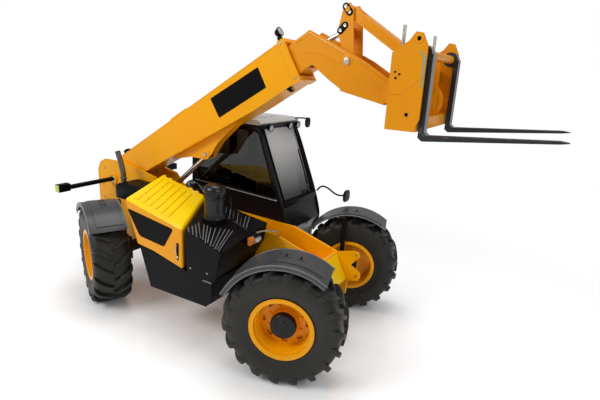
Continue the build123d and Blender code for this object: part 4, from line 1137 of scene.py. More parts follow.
cabSetup = {
    "sidePane": ((-0.850, 1.566), (0.505, 1.508), (0.196, 2.352), (-0.842, 2.352)),
    "quarterPane": ((-0.852, 1.598), (-0.598, 1.598), (-0.598, 2.352), (-0.842, 2.352)),
    "screen": ((0.575, 1.480), (0.216, 2.370)), "screenY": (0.288, 0.749),      # from, width
    "screenGrid": (10, 12), "bow": 0.014, "thick": 0.006,
    "postsY": (0.2230, 1.1020),
    "post": ((0.176, 2.424), (0.270, 2.270), (0.420, 1.900), (0.560, 1.560), (0.650, 1.300), (0.690, 1.120),
             (0.655, 1.010), (0.590, 0.930)),
    "waist": ((-0.880, 0.2150, 1.548), (-0.200, 0.2140, 1.519), (0.530, 0.2150, 1.488)),
    "spindle": ((0, 0), (0.022, 0), (0.022, 0.018), (0.012, 0.026), (0, 0.026)),
    "wiperArm": ((0.620, 0.860, 1.508), (0.566, 0.880, 1.640), (0.480, 0.905, 1.850)),
    "wiperBlade": ((0.572, 0.905, 1.600), (0.480, 0.908, 1.850), (0.392, 0.905, 2.070)),
    "cowl": ((0.588, 1.405), (0.628, 1.400), (0.622, 1.466), (0.600, 1.472)),
    "roof": ((-0.950, 2.424), (0.226, 2.424), (0.254, 2.446), (0.176, 2.4895), (-0.896, 2.4895), (-0.950, 2.460)),
    "roofRib": ((-0.82, 2.4885), (0.10, 2.4885), (0.08, 2.4995), (-0.80, 2.4995)),
    "roofRibs": {"count": 4, "first": 0.34, "pitch": 0.2, "width": 0.11},
    "lampRail": ((0.268, 0.230, 2.418), (0.285, 0.660, 2.414), (0.268, 1.100, 2.418)),
    "handle": ((-0.440, 1.101, 1.180), (-0.440, 1.135, 1.180), (-0.440, 1.137, 1.250), (-0.440, 1.137, 1.330),
               (-0.440, 1.101, 1.330)),
    "doorPanes": (((-0.452, 1.498), (0.432, 1.498), (0.112, 2.302), (-0.452, 2.302)),
                  ((-0.452, 0.858), (0.462, 0.858), (0.462, 0.970), (0.547, 1.115), (0.442, 1.402), (-0.452, 1.402))),
}
form = bmesh.new()
addSide(form, roundedOutline(cabSetup["sidePane"], 0.05), -0.2505, -0.2445, 0.001, 1)
addSide(form, roundedOutline(cabSetup["quarterPane"], 0.04), -1.0775, -1.0715, 0.001, 1)
addSide(form, rectangle(-0.915, 1.605, -0.909, 2.345), -1.035, -0.290, 0.001, 1)
makePiece("side_panes", "chassis", form, "sideGlass")


def buildScreen(setup):
    # two skins that bow forward a little between the posts, closed around their edge
    form = bmesh.new()
    rows, columns = setup["screenGrid"]
    low, high = Vector(setup["screen"][0]), Vector(setup["screen"][1])
    start, width = setup["screenY"]
    grids = []
    for skin in (0, 1):
        grid = []
        for i in range(rows + 1):
            line = []
            for j in range(columns + 1):
                up, across = i / rows, j / columns
                swell = (1 - (2 * across - 1) ** 2) * math.sin(math.pi * min(1, up + 0.2) * 0.8)
                bow = setup["bow"] * swell - setup["thick"] * skin
                flat = low.lerp(high, up)
                line.append(form.verts.new(spot(flat.x - setup["thick"] + bow, start + width * across, flat.y)))
            grid.append(line)
        grids.append(grid)
        for i in range(rows):
            for j in range(columns):
                form.faces.new((grid[i][j], grid[i][j + 1], grid[i + 1][j + 1], grid[i + 1][j]))
    outer, inner = ([*g[0], *(r[-1] for r in g[1:]), *g[-1][-2::-1], *(r[0] for r in g[-2:0:-1])] for g in grids)
    for i in range(len(outer)):
        j = (i + 1) % len(outer)
        form.faces.new((outer[i], outer[j], inner[j], inner[i]))
    return form


makePiece("windscreen", "chassis", buildScreen(cabSetup), "screenGlass", ("cab_glass",), 50)


def closedRun(points):
    # a closed run for a bar: its first two points come again at the end
    return points + points[:2]


seals = [(closedRun([spot(x, y, z) for x, z in roundedOutline(outline, 0.07, 3)]), 0.009, 2)
         for outline, y in ((cabSetup["sidePane"], 0.2225), (cabSetup["quarterPane"], 1.1035))]
seals += [(spots((0.589, y, 1.478), (0.410, y, 1.924), (0.230, y, 2.371)), 0.010, 2) for y in (0.290, 1.034)]
seals.append((spots((0.589, 0.290, 1.478), (0.596, 0.66, 1.478), (0.589, 1.034, 1.478)), 0.010, 2))
barPiece("pane_seals", "chassis", "blackMoulding", seals)
# bowed ridges of the front posts, from the roof down to the toe
barPiece("post_ridges", "chassis", "blackEnamel", [
    ([spot(x, y, z) for x, z in cabSetup["post"]], 0.015, 3) for y in cabSetup["postsY"]])
barPiece("waist_rail", "chassis", "zincPlate", [(spots(*cabSetup["waist"]), 0.006, 3)])

# wiper: spindle, arm and blade across the screen, and the cowl under them
form = bmesh.new()
addTurned(form, cabSetup["spindle"], aimedFrame(spot(0.598, 0.860, 1.500), (0.92, 0, 0.37)), 24)
addTube(form, spots(*cabSetup["wiperArm"]), 0.006, 3)
addTube(form, spots(*cabSetup["wiperBlade"]), 0.009, 2)
addSide(form, cabSetup["cowl"], -1.085, -0.240, 0.006, 2)
makePiece("wiper", "chassis", form, "blackMoulding")

# roof with its lip and pressed ribs
form = bmesh.new()
addSide(form, roundedOutline(cabSetup["roof"], 0.02, 3), -1.1205, -0.2095, 0.014, 3)
ribs = cabSetup["roofRibs"]
for rib in range(ribs["count"]):
    y = ribs["first"] + ribs["pitch"] * rib
    addSide(form, cabSetup["roofRib"], -(y + ribs["width"]), -y, 0.006, 2)
makePiece("roof_panel", "chassis", form, "roofGelcoat", ("cab_roof",))
barPiece("lamp_rail", "chassis", "blackEnamel", [(spots(*cabSetup["lampRail"]), 0.011, 3)])

form = bmesh.new()
addTube(form, spots(*cabSetup["handle"]), 0.009)
addSide(form, roundedOutline(rectangle(-0.475, 1.395, -0.395, 1.440), 0.01), -1.118, -1.099, 0.004, 2)
makePiece("door_handle", "door", form, "blackMoulding")
barPiece("door_seals", "door", "blackMoulding", [
    (closedRun([spot(x, 1.1015, z) for x, z in roundedOutline(outline, 0.06, 3)]), 0.008, 2)
    for outline in cabSetup["doorPanes"]])

mirrorSetup = (
    {"arm": ((0.640, 1.080, 1.480), (0.690, 1.090, 1.560), (0.780, 1.120, 1.545), (0.860, 1.150, 1.480),
             (0.930, 1.175, 1.440), (1.020, 1.200, 1.450), (1.045, 1.200, 1.450)), "bar": 0.012,
     "case": (1.110, 1.370, 1.290, 1.530), "caseX": 1.042, "caseCorner": 0.05, "depth": 0.026,
     "face": (1.120, 1.380, 1.280, 1.520), "faceX": 1.0405, "faceCorner": 0.045},
    {"arm": ((0.210, 1.080, 2.470), (0.290, 1.130, 2.480), (0.350, 1.185, 2.470)), "bar": 0.010,
     "case": (1.140, 2.345, 1.260, 2.485), "caseX": 0.345, "caseCorner": 0.045, "depth": 0.024,
     "face": (1.150, 2.355, 1.250, 2.475), "faceX": 0.3435, "faceCorner": 0.04},
)
cases, faces = bmesh.new(), bmesh.new()
for mirror in mirrorSetup:
    addTube(cases, spots(*mirror["arm"]), mirror["bar"])
    addPlate(cases, roundedOutline(rectangle(*mirror["case"]), mirror["caseCorner"]), 0.0, mirror["depth"],
             faceFrame(mirror["caseX"]), 0.010, 3)
    addPlate(faces, roundedOutline(rectangle(*mirror["face"]), mirror["faceCorner"]), 0.0, 0.002,
             faceFrame(mirror["faceX"]), 0.0005, 1)
makePiece("mirror_cases", "chassis", cases, "blackMoulding", ("mirrors",))
makePiece("mirror_faces", "chassis", faces, "reflectorBowl")

# seat: a pedestal with two sewn cushions

seatSetup = {
    "base": {"place": (-0.270, 0.665, 1.150), "lean": 0.0, "half": (0.228, 0.222), "thick": 0.070,
             "channels": (-0.5, 0.0, 0.5)},
    "back": {"place": (-0.492, 0.665, 1.545), "lean": 80.0, "half": (0.322, 0.200), "thick": 0.058,
             "channels": (-0.6, -0.2, 0.2, 0.6)},
    "grid": 36, "pull": 0.035, "crown": 0.016, "under": 0.55,
    "channel": (0.012, 0.009), "border": (0.010, 0.008), "borderAt": 0.66,      # depth and width of the sewn lines
    "seam": 0.0055,
    "folds": {"count": 7, "foot": 0.800, "pitch": 0.040, "swell": 0.022},
}


def buildCushion(pad, setup):
    # crowned top, sides pulled in between the corners, sewn channels across, piping along the edge
    form = bmesh.new()
    turn = Matrix.Translation(spot(*pad["place"])) @ Matrix.Rotation(math.radians(-pad["lean"]), 4, "Y")
    halfX, halfY = pad["half"]
    count, pull = setup["grid"], setup["pull"]
    channelDepth, channelWidth = setup["channel"]
    borderDepth, borderWidth = setup["border"]
    skins = []
    for way in (1, -1):
        skin = []
        for i in range(count + 1):
            line = []
            for j in range(count + 1):
                u, v = 2 * i / count - 1, 2 * j / count - 1
                corner = 1 - 0.10 * u ** 4 * v ** 4
                x = u * halfX * corner * (1 - pull * (1 - v * v) * u * u)
                y = v * halfY * corner * (1 - pull * (1 - u * u) * v * v)
                swell = max(0.0, (1 - u ** 8) * (1 - v ** 8)) ** 0.42
                z = way * pad["thick"] * swell * (1 if way > 0 else setup["under"])
                if way > 0:
                    z += setup["crown"] * (1 - u * u) * (1 - v * v)
                    for channel in pad["channels"]:
                        z -= channelDepth * math.exp(-((u - channel) * halfX / channelWidth) ** 2) * swell
                    border = (abs(v) - setup["borderAt"]) * halfY / borderWidth
                    z -= borderDepth * math.exp(-border ** 2) * swell
                line.append(form.verts.new(turn @ Vector((x, y, z))))
            skin.append(line)
        skins.append(skin)
        for i in range(count):
            for j in range(count):
                form.faces.new((skin[i][j], skin[i + 1][j], skin[i + 1][j + 1], skin[i][j + 1]))
    top = skins[0]
    rim = [top[i][0] for i in range(0, count, 3)] + [top[count][j] for j in range(0, count, 3)]
    rim += [top[i][count] for i in range(count, 0, -3)] + [top[0][j] for j in range(count, 0, -3)]
    rim = [v.co.copy() for v in rim]
    bmesh.ops.remove_doubles(form, verts=form.verts, dist=1e-5)
    addTube(form, closedRun(rim), setup["seam"], 2)
    return form


for part in ("base", "back"):
    cushion = makePiece("seat_cushion_" + part, "chassis", buildCushion(seatSetup[part], seatSetup),
                        "seatCloth", ("seat",), 60)
form = bmesh.new()
addSide(form, roundedOutline(((-0.500, 1.080), (-0.050, 1.080), (-0.060, 1.108), (-0.500, 1.108)), 0.01),
        -0.870, -0.460, 0.006)
addSide(form, ((-0.430, 0.772), (-0.110, 0.772), (-0.130, 0.800), (-0.410, 0.800)), -0.800, -0.530, 0.008)
folds = seatSetup["folds"]
for fold in range(folds["count"]):
    low = folds["foot"] + folds["pitch"] * fold
    out = (0.0, folds["swell"]) if fold % 2 == 0 else (folds["swell"], 0.0)
    addSide(form, ((-0.400 - out[0], low), (-0.130 + out[0], low), (-0.130 + out[1], low + folds["pitch"]),
                   (-0.400 - out[1], low + folds["pitch"])), -0.780 - out[1], -0.550 + out[1], 0.004)
makePiece("seat_pedestal", "chassis", form, "blackMoulding")
print("cab dressed")

# boom: panels, pins, plates, pipes

boomSetup = {
    "half": 0.165,
    "panel": ((-0.118, 2.508), (-0.261, 2.729), (0.440, 3.128), (0.565, 2.912)),
    # along from and to, height above the middle line, drop at the far end
    "seams": ((0.33, 3.42, 0.228, 0.0), (0.75, 1.95, -0.150, -0.05)),
    "collar": ((-0.245, 0.160), (-0.245, 0.168), (0.0, 0.168), (0.244, 0.168), (0.244, 0.160)),
    "collarAlong": 3.423,
    "wearPad": rectangle(3.435, -0.190, 3.500, 0.190),
    "pivotBoss": ((0.050, -0.001), (0.105, -0.001), (0.105, 0.006), (0.098, 0.010), (0.052, 0.010)),
    "ramEye": (1.750, -0.370),
    "pipes": (-0.135, -0.105, -0.075), "pipeY": 0.1730, "pipeRadius": 0.0072,
    "clamp": rectangle(-0.018, -0.150, 0.018, -0.060), "clamps": 6, "clampFrom": 0.70, "clampTo": 3.20,
}


def pinHead(form, place, radius, height):
    # a turned pin end with a chamfer, a recess and a grease nipple
    addTurned(form, ((0, 0), (radius, 0), (radius, height * 0.8), (radius * 0.92, height), (radius * 0.55, height),
                     (radius * 0.5, height * 0.8), (radius * 0.16, height * 0.8), (radius * 0.12, height * 1.25),
                     (0, height * 1.35)), place, 40)


for way, label in ((-1, "right"), (1, "left")):
    form = bmesh.new()
    addPlate(form, roundedOutline(boomSetup["panel"], 0.012, 3), *proud(way, -0.0005, 0.0020),
             sideFrame(way * boomSetup["half"]), 0.0006, 1)
    makePiece("boom_panel_" + label, "boom", form, "decalFilm")

form, pins = bmesh.new(), bmesh.new()
ramEye = boomSetup["ramEye"]
for way in (-1, 1):
    # welded seams along both edges and around the collar, and wear pads at the mouth
    y = way * (boomSetup["half"] + 0.0005)
    for start, end, above, drop in boomSetup["seams"]:
        line = boomSpots((start, above, y), ((start + end) / 2, above + drop * 0.5, y), (end, above + drop, y))
        addTube(form, line, 0.0035, 2)
    addTube(form, [onBoom(boomSetup["collarAlong"], above, way * out) for above, out in boomSetup["collar"]],
            0.004, 2)
    addPlate(form, roundedOutline(boomSetup["wearPad"], 0.01, 2), *proud(way, 0.0115, 0.0150),
             boomFrame(way * boomSetup["half"]), 0.001, 1)
    # rings around the boom's pivot and over the ram's bracket
    addTurned(form, boomSetup["pivotBoss"], lookingOut(onBoom(0, 0, way * boomSetup["half"]), way), 48, closed=True)
    addBoss(form, lookingOut(onBoom(*ramEye, way * 0.064), way), 0.032, 0.068, 0.062, 0.008, 0.012)
    pinHead(pins, lookingOut(onBoom(*ramEye, way * 0.075), way), 0.030, 0.012)
makePiece("boom_plates", "boom", form, "orangeEnamel")
makePiece("ram_pin_ends", "boom", pins, "zincPlate")

# steel pipes in clamps along the boom's left side
y = boomSetup["pipeY"]
barPiece("boom_pipes", "boom", "zincPlate", [
    (boomSpots((0.50, above - 0.02, y), (0.62, above, y), (2.0, above, y), (3.28, above, y), (3.36, above - 0.01, y),
               (3.40, above - 0.02, y)), boomSetup["pipeRadius"], 3) for above in boomSetup["pipes"]])
form = bmesh.new()
addPlate(form, roundedOutline(boomSetup["clamp"], 0.006, 2), -0.0155, -0.0005, unturned, 0.002, 1)
row = grow("row", {"Piece": sampleOf("clamp_sample", form), "Count": boomSetup["clamps"],
                   "From": (boomSetup["clampFrom"], 0, 0), "To": (boomSetup["clampTo"], 0, 0),
                   "Finish": finishes["blackMoulding"]})
row.transform(boomFrame(boomSetup["half"]))
makePiece("boom_pipe_clamps", "boom", row, "blackMoulding")

# head of the extension: flange, doubler from the lever's boss, creases

headSetup = {
    "half": 0.150,
    "doubler": ((3.925, -0.455), (4.000, -0.300), (4.040, -0.262), (4.085, -0.272), (4.125, -0.325),
                (4.352, -0.735), (4.372, -0.842), (4.300, -0.868), (4.235, -0.838)),
    "flange": ((3.630, 0.135), (3.815, 0.143), (4.200, -0.412), (4.394, -0.762), (4.380, -0.770), (4.186, -0.424),
               (3.806, 0.126), (3.630, 0.118)),
    "crease": ((3.64, -0.02), (3.80, -0.03), (4.02, -0.36)),
    "leverPin": (4.061, -0.331),
}
form, pins = bmesh.new(), bmesh.new()
for way in (-1, 1):
    face = boomFrame(way * headSetup["half"])
    addPlate(form, roundedOutline(headSetup["doubler"], 0.03, 4), *proud(way, -0.0005, 0.0045), face, 0.0018, 2)
    addPlate(form, headSetup["flange"], *proud(way, -0.0005, 0.0040), face, 0.0015, 2)
    addTube(form, [onBoom(along, above, way * 0.1505) for along, above in headSetup["crease"]], 0.003, 2)
    addBoss(form, lookingOut(onBoom(*headSetup["leverPin"], way * headSetup["half"]), way), 0.026, 0.056, 0.051,
            0.0075, 0.0095, 44)
    pinHead(pins, lookingOut(onBoom(*headSetup["leverPin"], way * 0.167), way), 0.0335, 0.008)
makePiece("head_plates", "boom_extension", form, "deepOrangeEnamel")
makePiece("lever_pin_ends", "boom_extension", pins, "zincPlate")

# lever: black keeper plates with two steel studs each

leverSetup = {
    # centre in the boom's frame, turn in degrees
    "keepers": (((4.270, 0.116), 100), ((4.145, -0.012), 15)),
    "faceY": 0.1215, "studY": 0.1254, "spread": 0.034, "round": 0.036, "thick": 0.0042, "facets": 24,
}
form, studs = bmesh.new(), bmesh.new()
for way in (-1, 1):
    face = boomFrame(way * leverSetup["faceY"])
    for centre, turn in leverSetup["keepers"]:
        centre = Vector(centre)
        run = Vector((math.cos(math.radians(turn)), math.sin(math.radians(turn))))
        left = Vector((-run.y, run.x))
        points = []
        for k in range(leverSetup["facets"]):
            angle = 2 * math.pi * k / leverSetup["facets"]
            end = centre + run * leverSetup["spread"] * (1 if math.cos(angle) > 0 else -1)
            point = end + (run * math.cos(angle) + left * math.sin(angle)) * leverSetup["round"]
            points.append((point.x, point.y))
        addPlate(form, points, *proud(way, 0.0, leverSetup["thick"]), face, 0.0015, 2)
        for sign in (-1, 1):
            stud = centre + run * leverSetup["spread"] * sign
            pinHead(studs, lookingOut(onBoom(stud.x, stud.y, way * leverSetup["studY"]), way), 0.017, 0.0022)
makePiece("lever_keepers", "lever", form, "decalFilm")
makePiece("lever_studs", "lever", studs, "zincPlate")

# link: raised panels along its two sides and its top

form = bmesh.new()
linkFrom, linkTo = onBoom(4.270, 0.116, 0), spot(2.130, 0, 3.300)
aim = (linkTo - linkFrom).normalized()
length = (linkTo - linkFrom).length
for way in (-1, 1):
    addPlate(form, roundedOutline(rectangle(0.17, -0.026, length - 0.10, 0.026), 0.012), *proud(-way, 0.0945, 0.098),
             frameOf(linkFrom, aim, acrossRight.cross(aim)), 0.0015, 2)
addPlate(form, roundedOutline(rectangle(0.20, -0.060, length - 0.16, 0.060), 0.03), 0.0495, 0.0535,
         frameOf(linkFrom, aim, acrossRight), 0.002, 2)
makePiece("link_panels", "link", form, "deepOrangeEnamel")

# rams: gland nuts and the bands near their feet

rams = (
    # body, base, rod eye, barrel radius, rod radius, barrel length
    ("lift_barrel", spot(-1.950, 0, 0.700), onBoom(*ramEye, 0), 0.065, 0.035, 1.140),
    ("tilt_barrel", onBoom(3.100, 0.050, 0), onBoom(4.145, -0.012, 0), 0.045, 0.025, 0.700),
)
for barrel, start, end, radius, rod, length in rams:
    aim = (end - start).normalized()
    gland = aimedFrame(start + aim * length, aim, Vector((0, 1, 0)))
    nut = ((rod + 0.0015, -0.050), (radius + 0.001, -0.050), (radius + 0.005, -0.046),
                 (radius + 0.005, -0.004), (radius, 0.0), (rod + 0.008, 0.002), (rod + 0.0015, 0.002))
    band = ((radius + 0.0005, -length + 0.10), (radius + 0.005, -length + 0.104), (radius + 0.005, -length + 0.15),
            (radius + 0.0005, -length + 0.154))
    turnedPiece(barrel.replace("barrel", "ram_rings"), barrel, "blackEnamel", gland,
                [(nut, 40, True), (band, 40, True)])
print("boom dressed")

# carriage: ear plates, folds, hooks, holes

carriageSetup = {
    "earY": 0.595,
    "earHead": ((2.262, 3.290), (2.300, 3.395), (2.345, 3.462), (2.396, 3.452), (2.444, 3.360), (2.444, 3.285),
                (2.350, 3.250)),
    "earHole": (2.372, 3.415),
    # x, z, radius
    "holes": ((2.196, 3.142, 0.010), (2.236, 3.124, 0.010), (2.205, 3.092, 0.011), (2.335, 2.792, 0.017)),
    "creases": (((2.152, 2.958), (2.20, 2.956), (2.265, 2.961)), ((2.265, 2.961), (2.35, 3.035), (2.440, 3.115))),
    "strip": ((2.428, 3.020), (2.4465, 3.035), (2.4465, 3.270), (2.424, 3.300), (2.392, 3.322), (2.386, 3.312),
              (2.420, 3.280)),
    # centre x and z, half width and half height of the crescents' two edges
    "crescent": ((2.300, 2.885, 0.127, 0.165), (2.285, 2.895, 0.098, 0.125)), "crescentsY": (0.235, 0.262),
    "rib": ((2.192, 3.062), (2.300, 2.762), (2.330, 2.762), (2.300, 3.062)), "ribY": 0.360,
    "rodPlace": (2.207, 0.500), "latchBar": ((2.310, -0.150, 2.985), (2.345, -0.080, 3.000), (2.345, 0.080, 3.000),
                                             (2.310, 0.150, 2.985)),
    "latch": ((2.302, 2.900), (2.345, 2.905), (2.345, 2.985), (2.302, 2.990)),
}


def crescentOutline(setup):
    # the outer edge from the foot up, the inner edge back down, cut straight at the back
    outline = []
    for (x, z, wide, tall), degrees in zip(setup["crescent"], (range(20, 161, 14), range(160, 19, -14))):
        outline += [(x + wide * math.sin(math.radians(d)), z - tall * math.cos(math.radians(d))) for d in degrees]
    back = setup["crescent"][0][0]
    return [(max(x, back), z) for x, z in outline]


form, dark, green, pins = (bmesh.new() for _ in range(4))
for way in (-1, 1):
    y = way * carriageSetup["earY"]
    ear = sideFrame(y)
    # a second thickness on the ear's head, its ring, and its hole as a black disc of painted shade
    addPlate(form, roundedOutline(carriageSetup["earHead"], 0.02, 4), *proud(way, -0.0005, -0.0035), ear, 0.0015, 2)
    x, z = carriageSetup["earHole"]
    addBoss(form, lookingOut(spot(x, y, z), way), 0.018, 0.040, 0.036, 0.004, 0.007, 36)
    addTurned(dark, rectangle(0, -0.0005, 0.018, 0.0035), lookingOut(spot(x, y, z), way), 28)
    # the holes: black discs of painted shade, each in a ring
    for x, z, radius in carriageSetup["holes"]:
        place = lookingOut(spot(x, y, z), way)
        addTurned(dark, rectangle(0, -0.0005, radius, 0.0016), place, 20)
        addTurned(form, ((radius, -0.001), (radius * 1.5, -0.001), (radius * 1.5, 0.0014), (radius, 0.0024)), place,
                  24, closed=True)
    # creases: across at mid height and slanting up to the front
    for crease in carriageSetup["creases"]:
        addTube(form, [spot(x, way * 0.5955, z) for x, z in crease], 0.0035, 2)
    addPlate(green, carriageSetup["strip"], *proud(way, 0.001, -0.0022), ear, 0.0006, 1)
    # crescent hook plates between the forks, a rib behind the cross beam, a guide collar on the locking rod
    for offset in carriageSetup["crescentsY"]:
        addSide(form, crescentOutline(carriageSetup), *around(way * offset, 0.006), 0.002, 2)
    addSide(form, carriageSetup["rib"], *around(way * carriageSetup["ribY"], 0.006), 0.002, 2)
    x, y = carriageSetup["rodPlace"]
    addBoss(form, Matrix.Translation(spot(x, way * y, 0)), 0.0155, 0.028, 0.024, 3.215, 3.222, 28, 3.181)
    pinHead(pins, lookingOut(spot(2.130, way * 0.182, 3.300), way), 0.030, 0.010)
makePiece("carriage_plates", "carriage", form, "deepOrangeEnamel")
makePiece("carriage_holes", "carriage", dark, "decalFilm")
makePiece("carriage_strips", "carriage", green, "reflectiveStrip")
makePiece("link_pin_ends", "carriage", pins, "zincPlate")
form = bmesh.new()
addTube(form, spots(*carriageSetup["latchBar"]), 0.012)
addSide(form, roundedOutline(carriageSetup["latch"], 0.008), *around(0, 0.045), 0.004, 2)
makePiece("carriage_latch", "carriage", form, "blackEnamel")
print("carriage dressed")

# fenders: rolled edges and a crease on the outer face, drawn light grey as painted highlight, and fixings on top

fenderSetup = {
    "front": (52, 154), "rear": (42, 138),      # degrees from straight back
    # radius of the run, distance from the wheel's middle, radius of the bar
    "bars": ((0.7005, 0.2355, 0.006), (0.7005, -0.2050, 0.006), (0.6560, 0.2330, 0.0055)),
    "stations": 15,
    "marksAt": (80, 92), "marksRadius": 0.7160, "mark": (0.012, 0.011), "markShift": 0.018,
}
for corner in corners:
    # a fender follows the wheel as it stands at rest
    place, side = wheelFrame(corner)
    knuckle = "knuckle_" + corner
    first, last = fenderSetup[corner.split("_")[0]]
    if side > 0:
        first, last = 180 - last, 180 - first
    steps = fenderSetup["stations"] - 1
    angles = [math.radians(first + (last - first) * k / steps) for k in range(steps + 1)]
    # painted highlight: the edges and crease are light grey bars on the dark fender
    barPiece("fender_lip_" + corner, knuckle, "fenderLip", [
        ([place @ Vector((radius * math.cos(angle), radius * math.sin(angle), across)) for angle in angles], bar, 3)
        for radius, across, bar in fenderSetup["bars"]])
    marks = bmesh.new()
    halfX, halfY = fenderSetup["mark"]
    for angle in fenderSetup["marksAt"]:
        pad = (place @ Matrix.Rotation(math.radians(angle), 4, "Z")
               @ frameOf(straightAhead * fenderSetup["marksRadius"], -acrossRight, straightUp))
        for shift in (-fenderSetup["markShift"], fenderSetup["markShift"]):
            outline = roundedOutline(rectangle(-halfX, shift - halfY, halfX, shift + halfY), 0.003, 2)
            addPlate(marks, outline, -0.001, 0.0035, pad, 0.001, 1)
    makePiece("fender_marks_" + corner, knuckle, marks, "decalFilm")

# strut in the nose, and a yellow plate on the nose's folded face: painted light, the lit face drawn lighter than the
# orange around it

noseSetup = {
    "strut": ((0.880, -0.070, 0.921), (1.340, -0.070, 0.952)),
    "face": (1.431, 0, 1.012), "slope": (0.155, 0, -0.295), "out": (0.295, 0, 0.155),
    "plate": rectangle(0.006, -0.178, 0.318, 0.178),
}
strutFrom, strutTo = spots(*noseSetup["strut"])
aim = strutTo - strutFrom
length = aim.length
turnedPiece("strut_bands", "chassis", "blackEnamel", aimedFrame(strutFrom, aim, -acrossRight), [
    (((0.0302, length * 0.47), (0.0335, length * 0.475), (0.0335, length * 0.525), (0.0302, length * 0.53)),
     36, True),
    (((0.0, -0.012), (0.022, -0.012), (0.026, 0.004), (0.0302, 0.006), (0.0, 0.006)), 36, False),
    (((0.0, length + 0.012), (0.022, length + 0.012), (0.026, length - 0.004), (0.0302, length - 0.006),
      (0.0, length - 0.006)), 36, False)])
slope, noseOut = Vector(noseSetup["slope"]).normalized(), Vector(noseSetup["out"]).normalized()
noseFrame = frameOf(spot(*noseSetup["face"]), slope, noseOut.cross(slope))
form = bmesh.new()
addPlate(form, roundedOutline(noseSetup["plate"], 0.02), 0.0068, 0.0105, noseFrame, 0.0015, 2)
makePiece("nose_plate", "chassis", form, "yellowEnamel")

# frame: rolled edges, rings and pin ends at the boom's pivot and the ram's foot, rings at the lashing holes

frameSetup = {
    "plateY": 0.2110,
    "noseEdge": ((0.805, 1.214), (1.120, 1.122), (1.425, 1.031)),
    "towerEdge": ((-2.456, 0.820), (-2.458, 1.200), (-2.458, 1.515), (-2.400, 1.636), (-2.290, 1.696),
                  (-1.885, 1.706), (-1.240, 1.588)),
    # x, z, the ring's sizes and sides, the pin's radius and height
    "pins": ((-2.120, 1.420, (0.050, 0.090, 0.084, 0.006, 0.010), 44, (0.047, 0.012)),
             (-1.950, 0.700, (0.032, 0.057, 0.052, 0.006, 0.009), 40, (0.030, 0.010))),
    # x, z, inner and outer radius
    "lashings": ((1.690, 1.045, 0.0185, 0.034), (1.702, 0.780, 0.0235, 0.040)),
}
form, pins = bmesh.new(), bmesh.new()
for way in (-1, 1):
    y = way * frameSetup["plateY"]
    addTube(form, [spot(x, y, z) for x, z in frameSetup["noseEdge"]], 0.006, 3)
    # each point twice, which keeps the corners of the tower crisp
    addTube(form, [spot(x, y, z) for x, z in frameSetup["towerEdge"] for _ in (0, 1)], 0.0045, 3)
    for x, z, ring, count, pin in frameSetup["pins"]:
        addBoss(form, lookingOut(spot(x, way * 0.224, z), way), *ring, count)
        pinHead(pins, lookingOut(spot(x, way * 0.223, z), way), *pin)
for x, z, inner, outer in frameSetup["lashings"]:
    addTurned(form, rectangle(inner, -0.0005, outer, 0.008), lookingOut(spot(x, 0.210, z), 1), 32, closed=True)
makePiece("frame_edges", "chassis", form, "orangeEnamel")
makePiece("pivot_pin_ends", "chassis", pins, "zincPlate")

# rear cover beside the boom with its louvres, and the tail pipe's clamp

coverSetup = {
    "outline": ((-1.638, 1.292), (-1.082, 1.292), (-1.082, 1.440), (-1.180, 1.518), (-1.560, 1.518), (-1.638, 1.470)),
    "louvres": 4, "first": -1.50, "pitch": 0.085, "width": 0.045,
    "pipe": (-1.560, -0.470, 1.560),
    "clamp": ((0.0365, -0.004), (0.041, 0.0), (0.041, 0.022), (0.0365, 0.026)),
}
form = bmesh.new()
addSide(form, coverSetup["outline"], 0.228, 0.558, 0.024, 4)
for k in range(coverSetup["louvres"]):
    x = coverSetup["first"] + coverSetup["pitch"] * k
    addSide(form, rectangle(x, 1.5165, x + coverSetup["width"], 1.5195), 0.28, 0.50, 0.001, 1)
makePiece("rear_cover_moulding", "chassis", form, "blackMoulding", ("rear_cover",), 40)
form = bmesh.new()
pipe = Matrix.Translation(spot(*coverSetup["pipe"]))
addTurned(form, coverSetup["clamp"], pipe, 32, closed=True)
addPlate(form, rectangle(0.041, -0.010, 0.060, 0.010), 0.002, 0.020, pipe, 0.001, 1)
makePiece("exhaust_clamp", "chassis", form, "pipeSteel")

# top of the pod's corner step, treads of the driver's step, tank cap

stepSetup = {"count": 17, "from": -0.14, "to": 0.295, "tread": rectangle(-0.004, 1.060, 0.004, 1.184)}
form = bmesh.new()
addSide(form, roundedOutline(rectangle(0.446, 0.850, 0.573, 0.862), 0.003, 2), 1.062, 1.092, 0.003, 2)
makePiece("corner_step_top", "chassis", form, "fenderLip")
form = bmesh.new()
addPlate(form, stepSetup["tread"], 0.4555, 0.4610, unturned, 0.001, 1)
row = grow("row", {"Piece": sampleOf("tread_sample", form), "Count": stepSetup["count"],
                   "From": tuple(spot(stepSetup["from"], 0, 0)), "To": tuple(spot(stepSetup["to"], 0, 0)),
                   "Finish": finishes["zincPlate"]})
makePiece("driver_step_treads", "chassis", row, "zincPlate")
turnedPiece("tank_cap", "chassis", "blackMoulding", Matrix.Translation(spot(-0.47, 0.98, 0.700)), [
    (((0, 0), (0.055, 0), (0.055, 0.022), (0.048, 0.030), (0, 0.030)), 40, False)])

# kingpin caps, collars at the differentials and the drive shaft between the axles

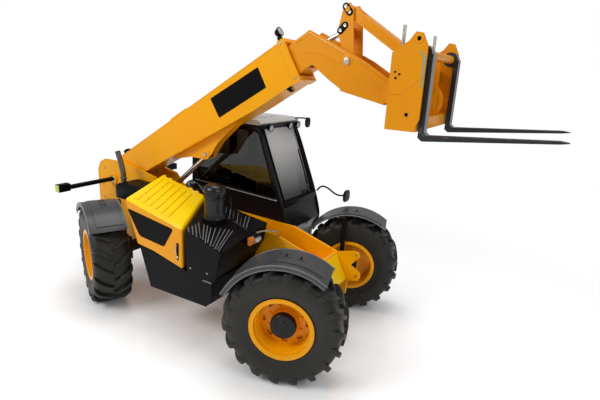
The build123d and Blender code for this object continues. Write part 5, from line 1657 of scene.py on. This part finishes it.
axleSetup = {
    "x": (1.375, -1.375), "kingpinY": 0.750, "z": 0.640, "shaftEnd": 1.255, "shaftRadius": 0.030,
    "cap": ((0, 0.800), (0.050, 0.800), (0.050, 0.812), (0.042, 0.820), (0.0, 0.820)),
    "collar": ((0.0805, 0.260), (0.090, 0.266), (0.090, 0.300), (0.0805, 0.306)),
}
form = bmesh.new()
for x in axleSetup["x"]:
    for way in (-1, 1):
        addTurned(form, axleSetup["cap"], Matrix.Translation(spot(x, way * axleSetup["kingpinY"], 0)), 32)
        addTurned(form, axleSetup["collar"], lookingOut(spot(x, 0, axleSetup["z"]), way), 36, closed=True)
addTube(form, [spot(x * axleSetup["shaftEnd"], 0, axleSetup["z"]) for x in (-1, 0, 1)], axleSetup["shaftRadius"], 3)
makePiece("axle_fittings", "chassis", form, "blackEnamel")

# bolts; each table row is two places on the face and the head's radius

boltTable = {
    # x, z
    "nose": ((0.93, 1.135, 0.011), (1.10, 1.085, 0.011), (1.30, 0.99, 0.011), (-2.36, 1.10, 0.014),
             (-2.36, 1.30, 0.014), (-2.30, 1.56, 0.012), (-1.50, 1.60, 0.011), (-1.35, 1.20, 0.012)),
    "counterweight": ((-2.335, 0.930, 0.019), (-2.335, 0.640, 0.019), (-2.265, 0.930, 0.019)),
    "pod": ((0.26, 0.95, 0.008), (0.50, 0.95, 0.008)),
    # along the boom, above its middle line
    "boomMouth": ((3.455, -0.205, 0.009), (3.455, 0.210, 0.009), (3.490, -0.205, 0.009), (3.490, 0.210, 0.009)),
    # along the boom, y
    "boomTop": ((1.54, -0.13, 0.009), (1.54, 0.13, 0.009), (1.80, -0.13, 0.009), (1.80, 0.13, 0.009)),
}
boltsOn("frame_bolts", "chassis", [
    (spot(x, way * y, z), (0, way, 0), size) for part, y in (("nose", 0.2105), ("counterweight", 0.4705))
    for way in (-1, 1) for x, z, size in boltTable[part]
] + [(noseFrame @ Vector((0.14, 0.0, 0.0105)), tuple(noseOut), 0.014)])
boltsOn("boom_bolts", "boom", [
    (onBoom(along, above, way * 0.177), (0, way, 0), size) for way in (-1, 1)
    for along, above, size in boltTable["boomMouth"]
] + [(onBoom(along, 0.249, y), tuple(boomUp), size) for along, y, size in boltTable["boomTop"]])
boltsOn("pod_bolts", "chassis", [(spot(x, -1.078, z), (0, -1, 0), size) for x, z, size in boltTable["pod"]])
print("body dressed")

for sample in samples:
    bpy.data.objects.remove(sample)
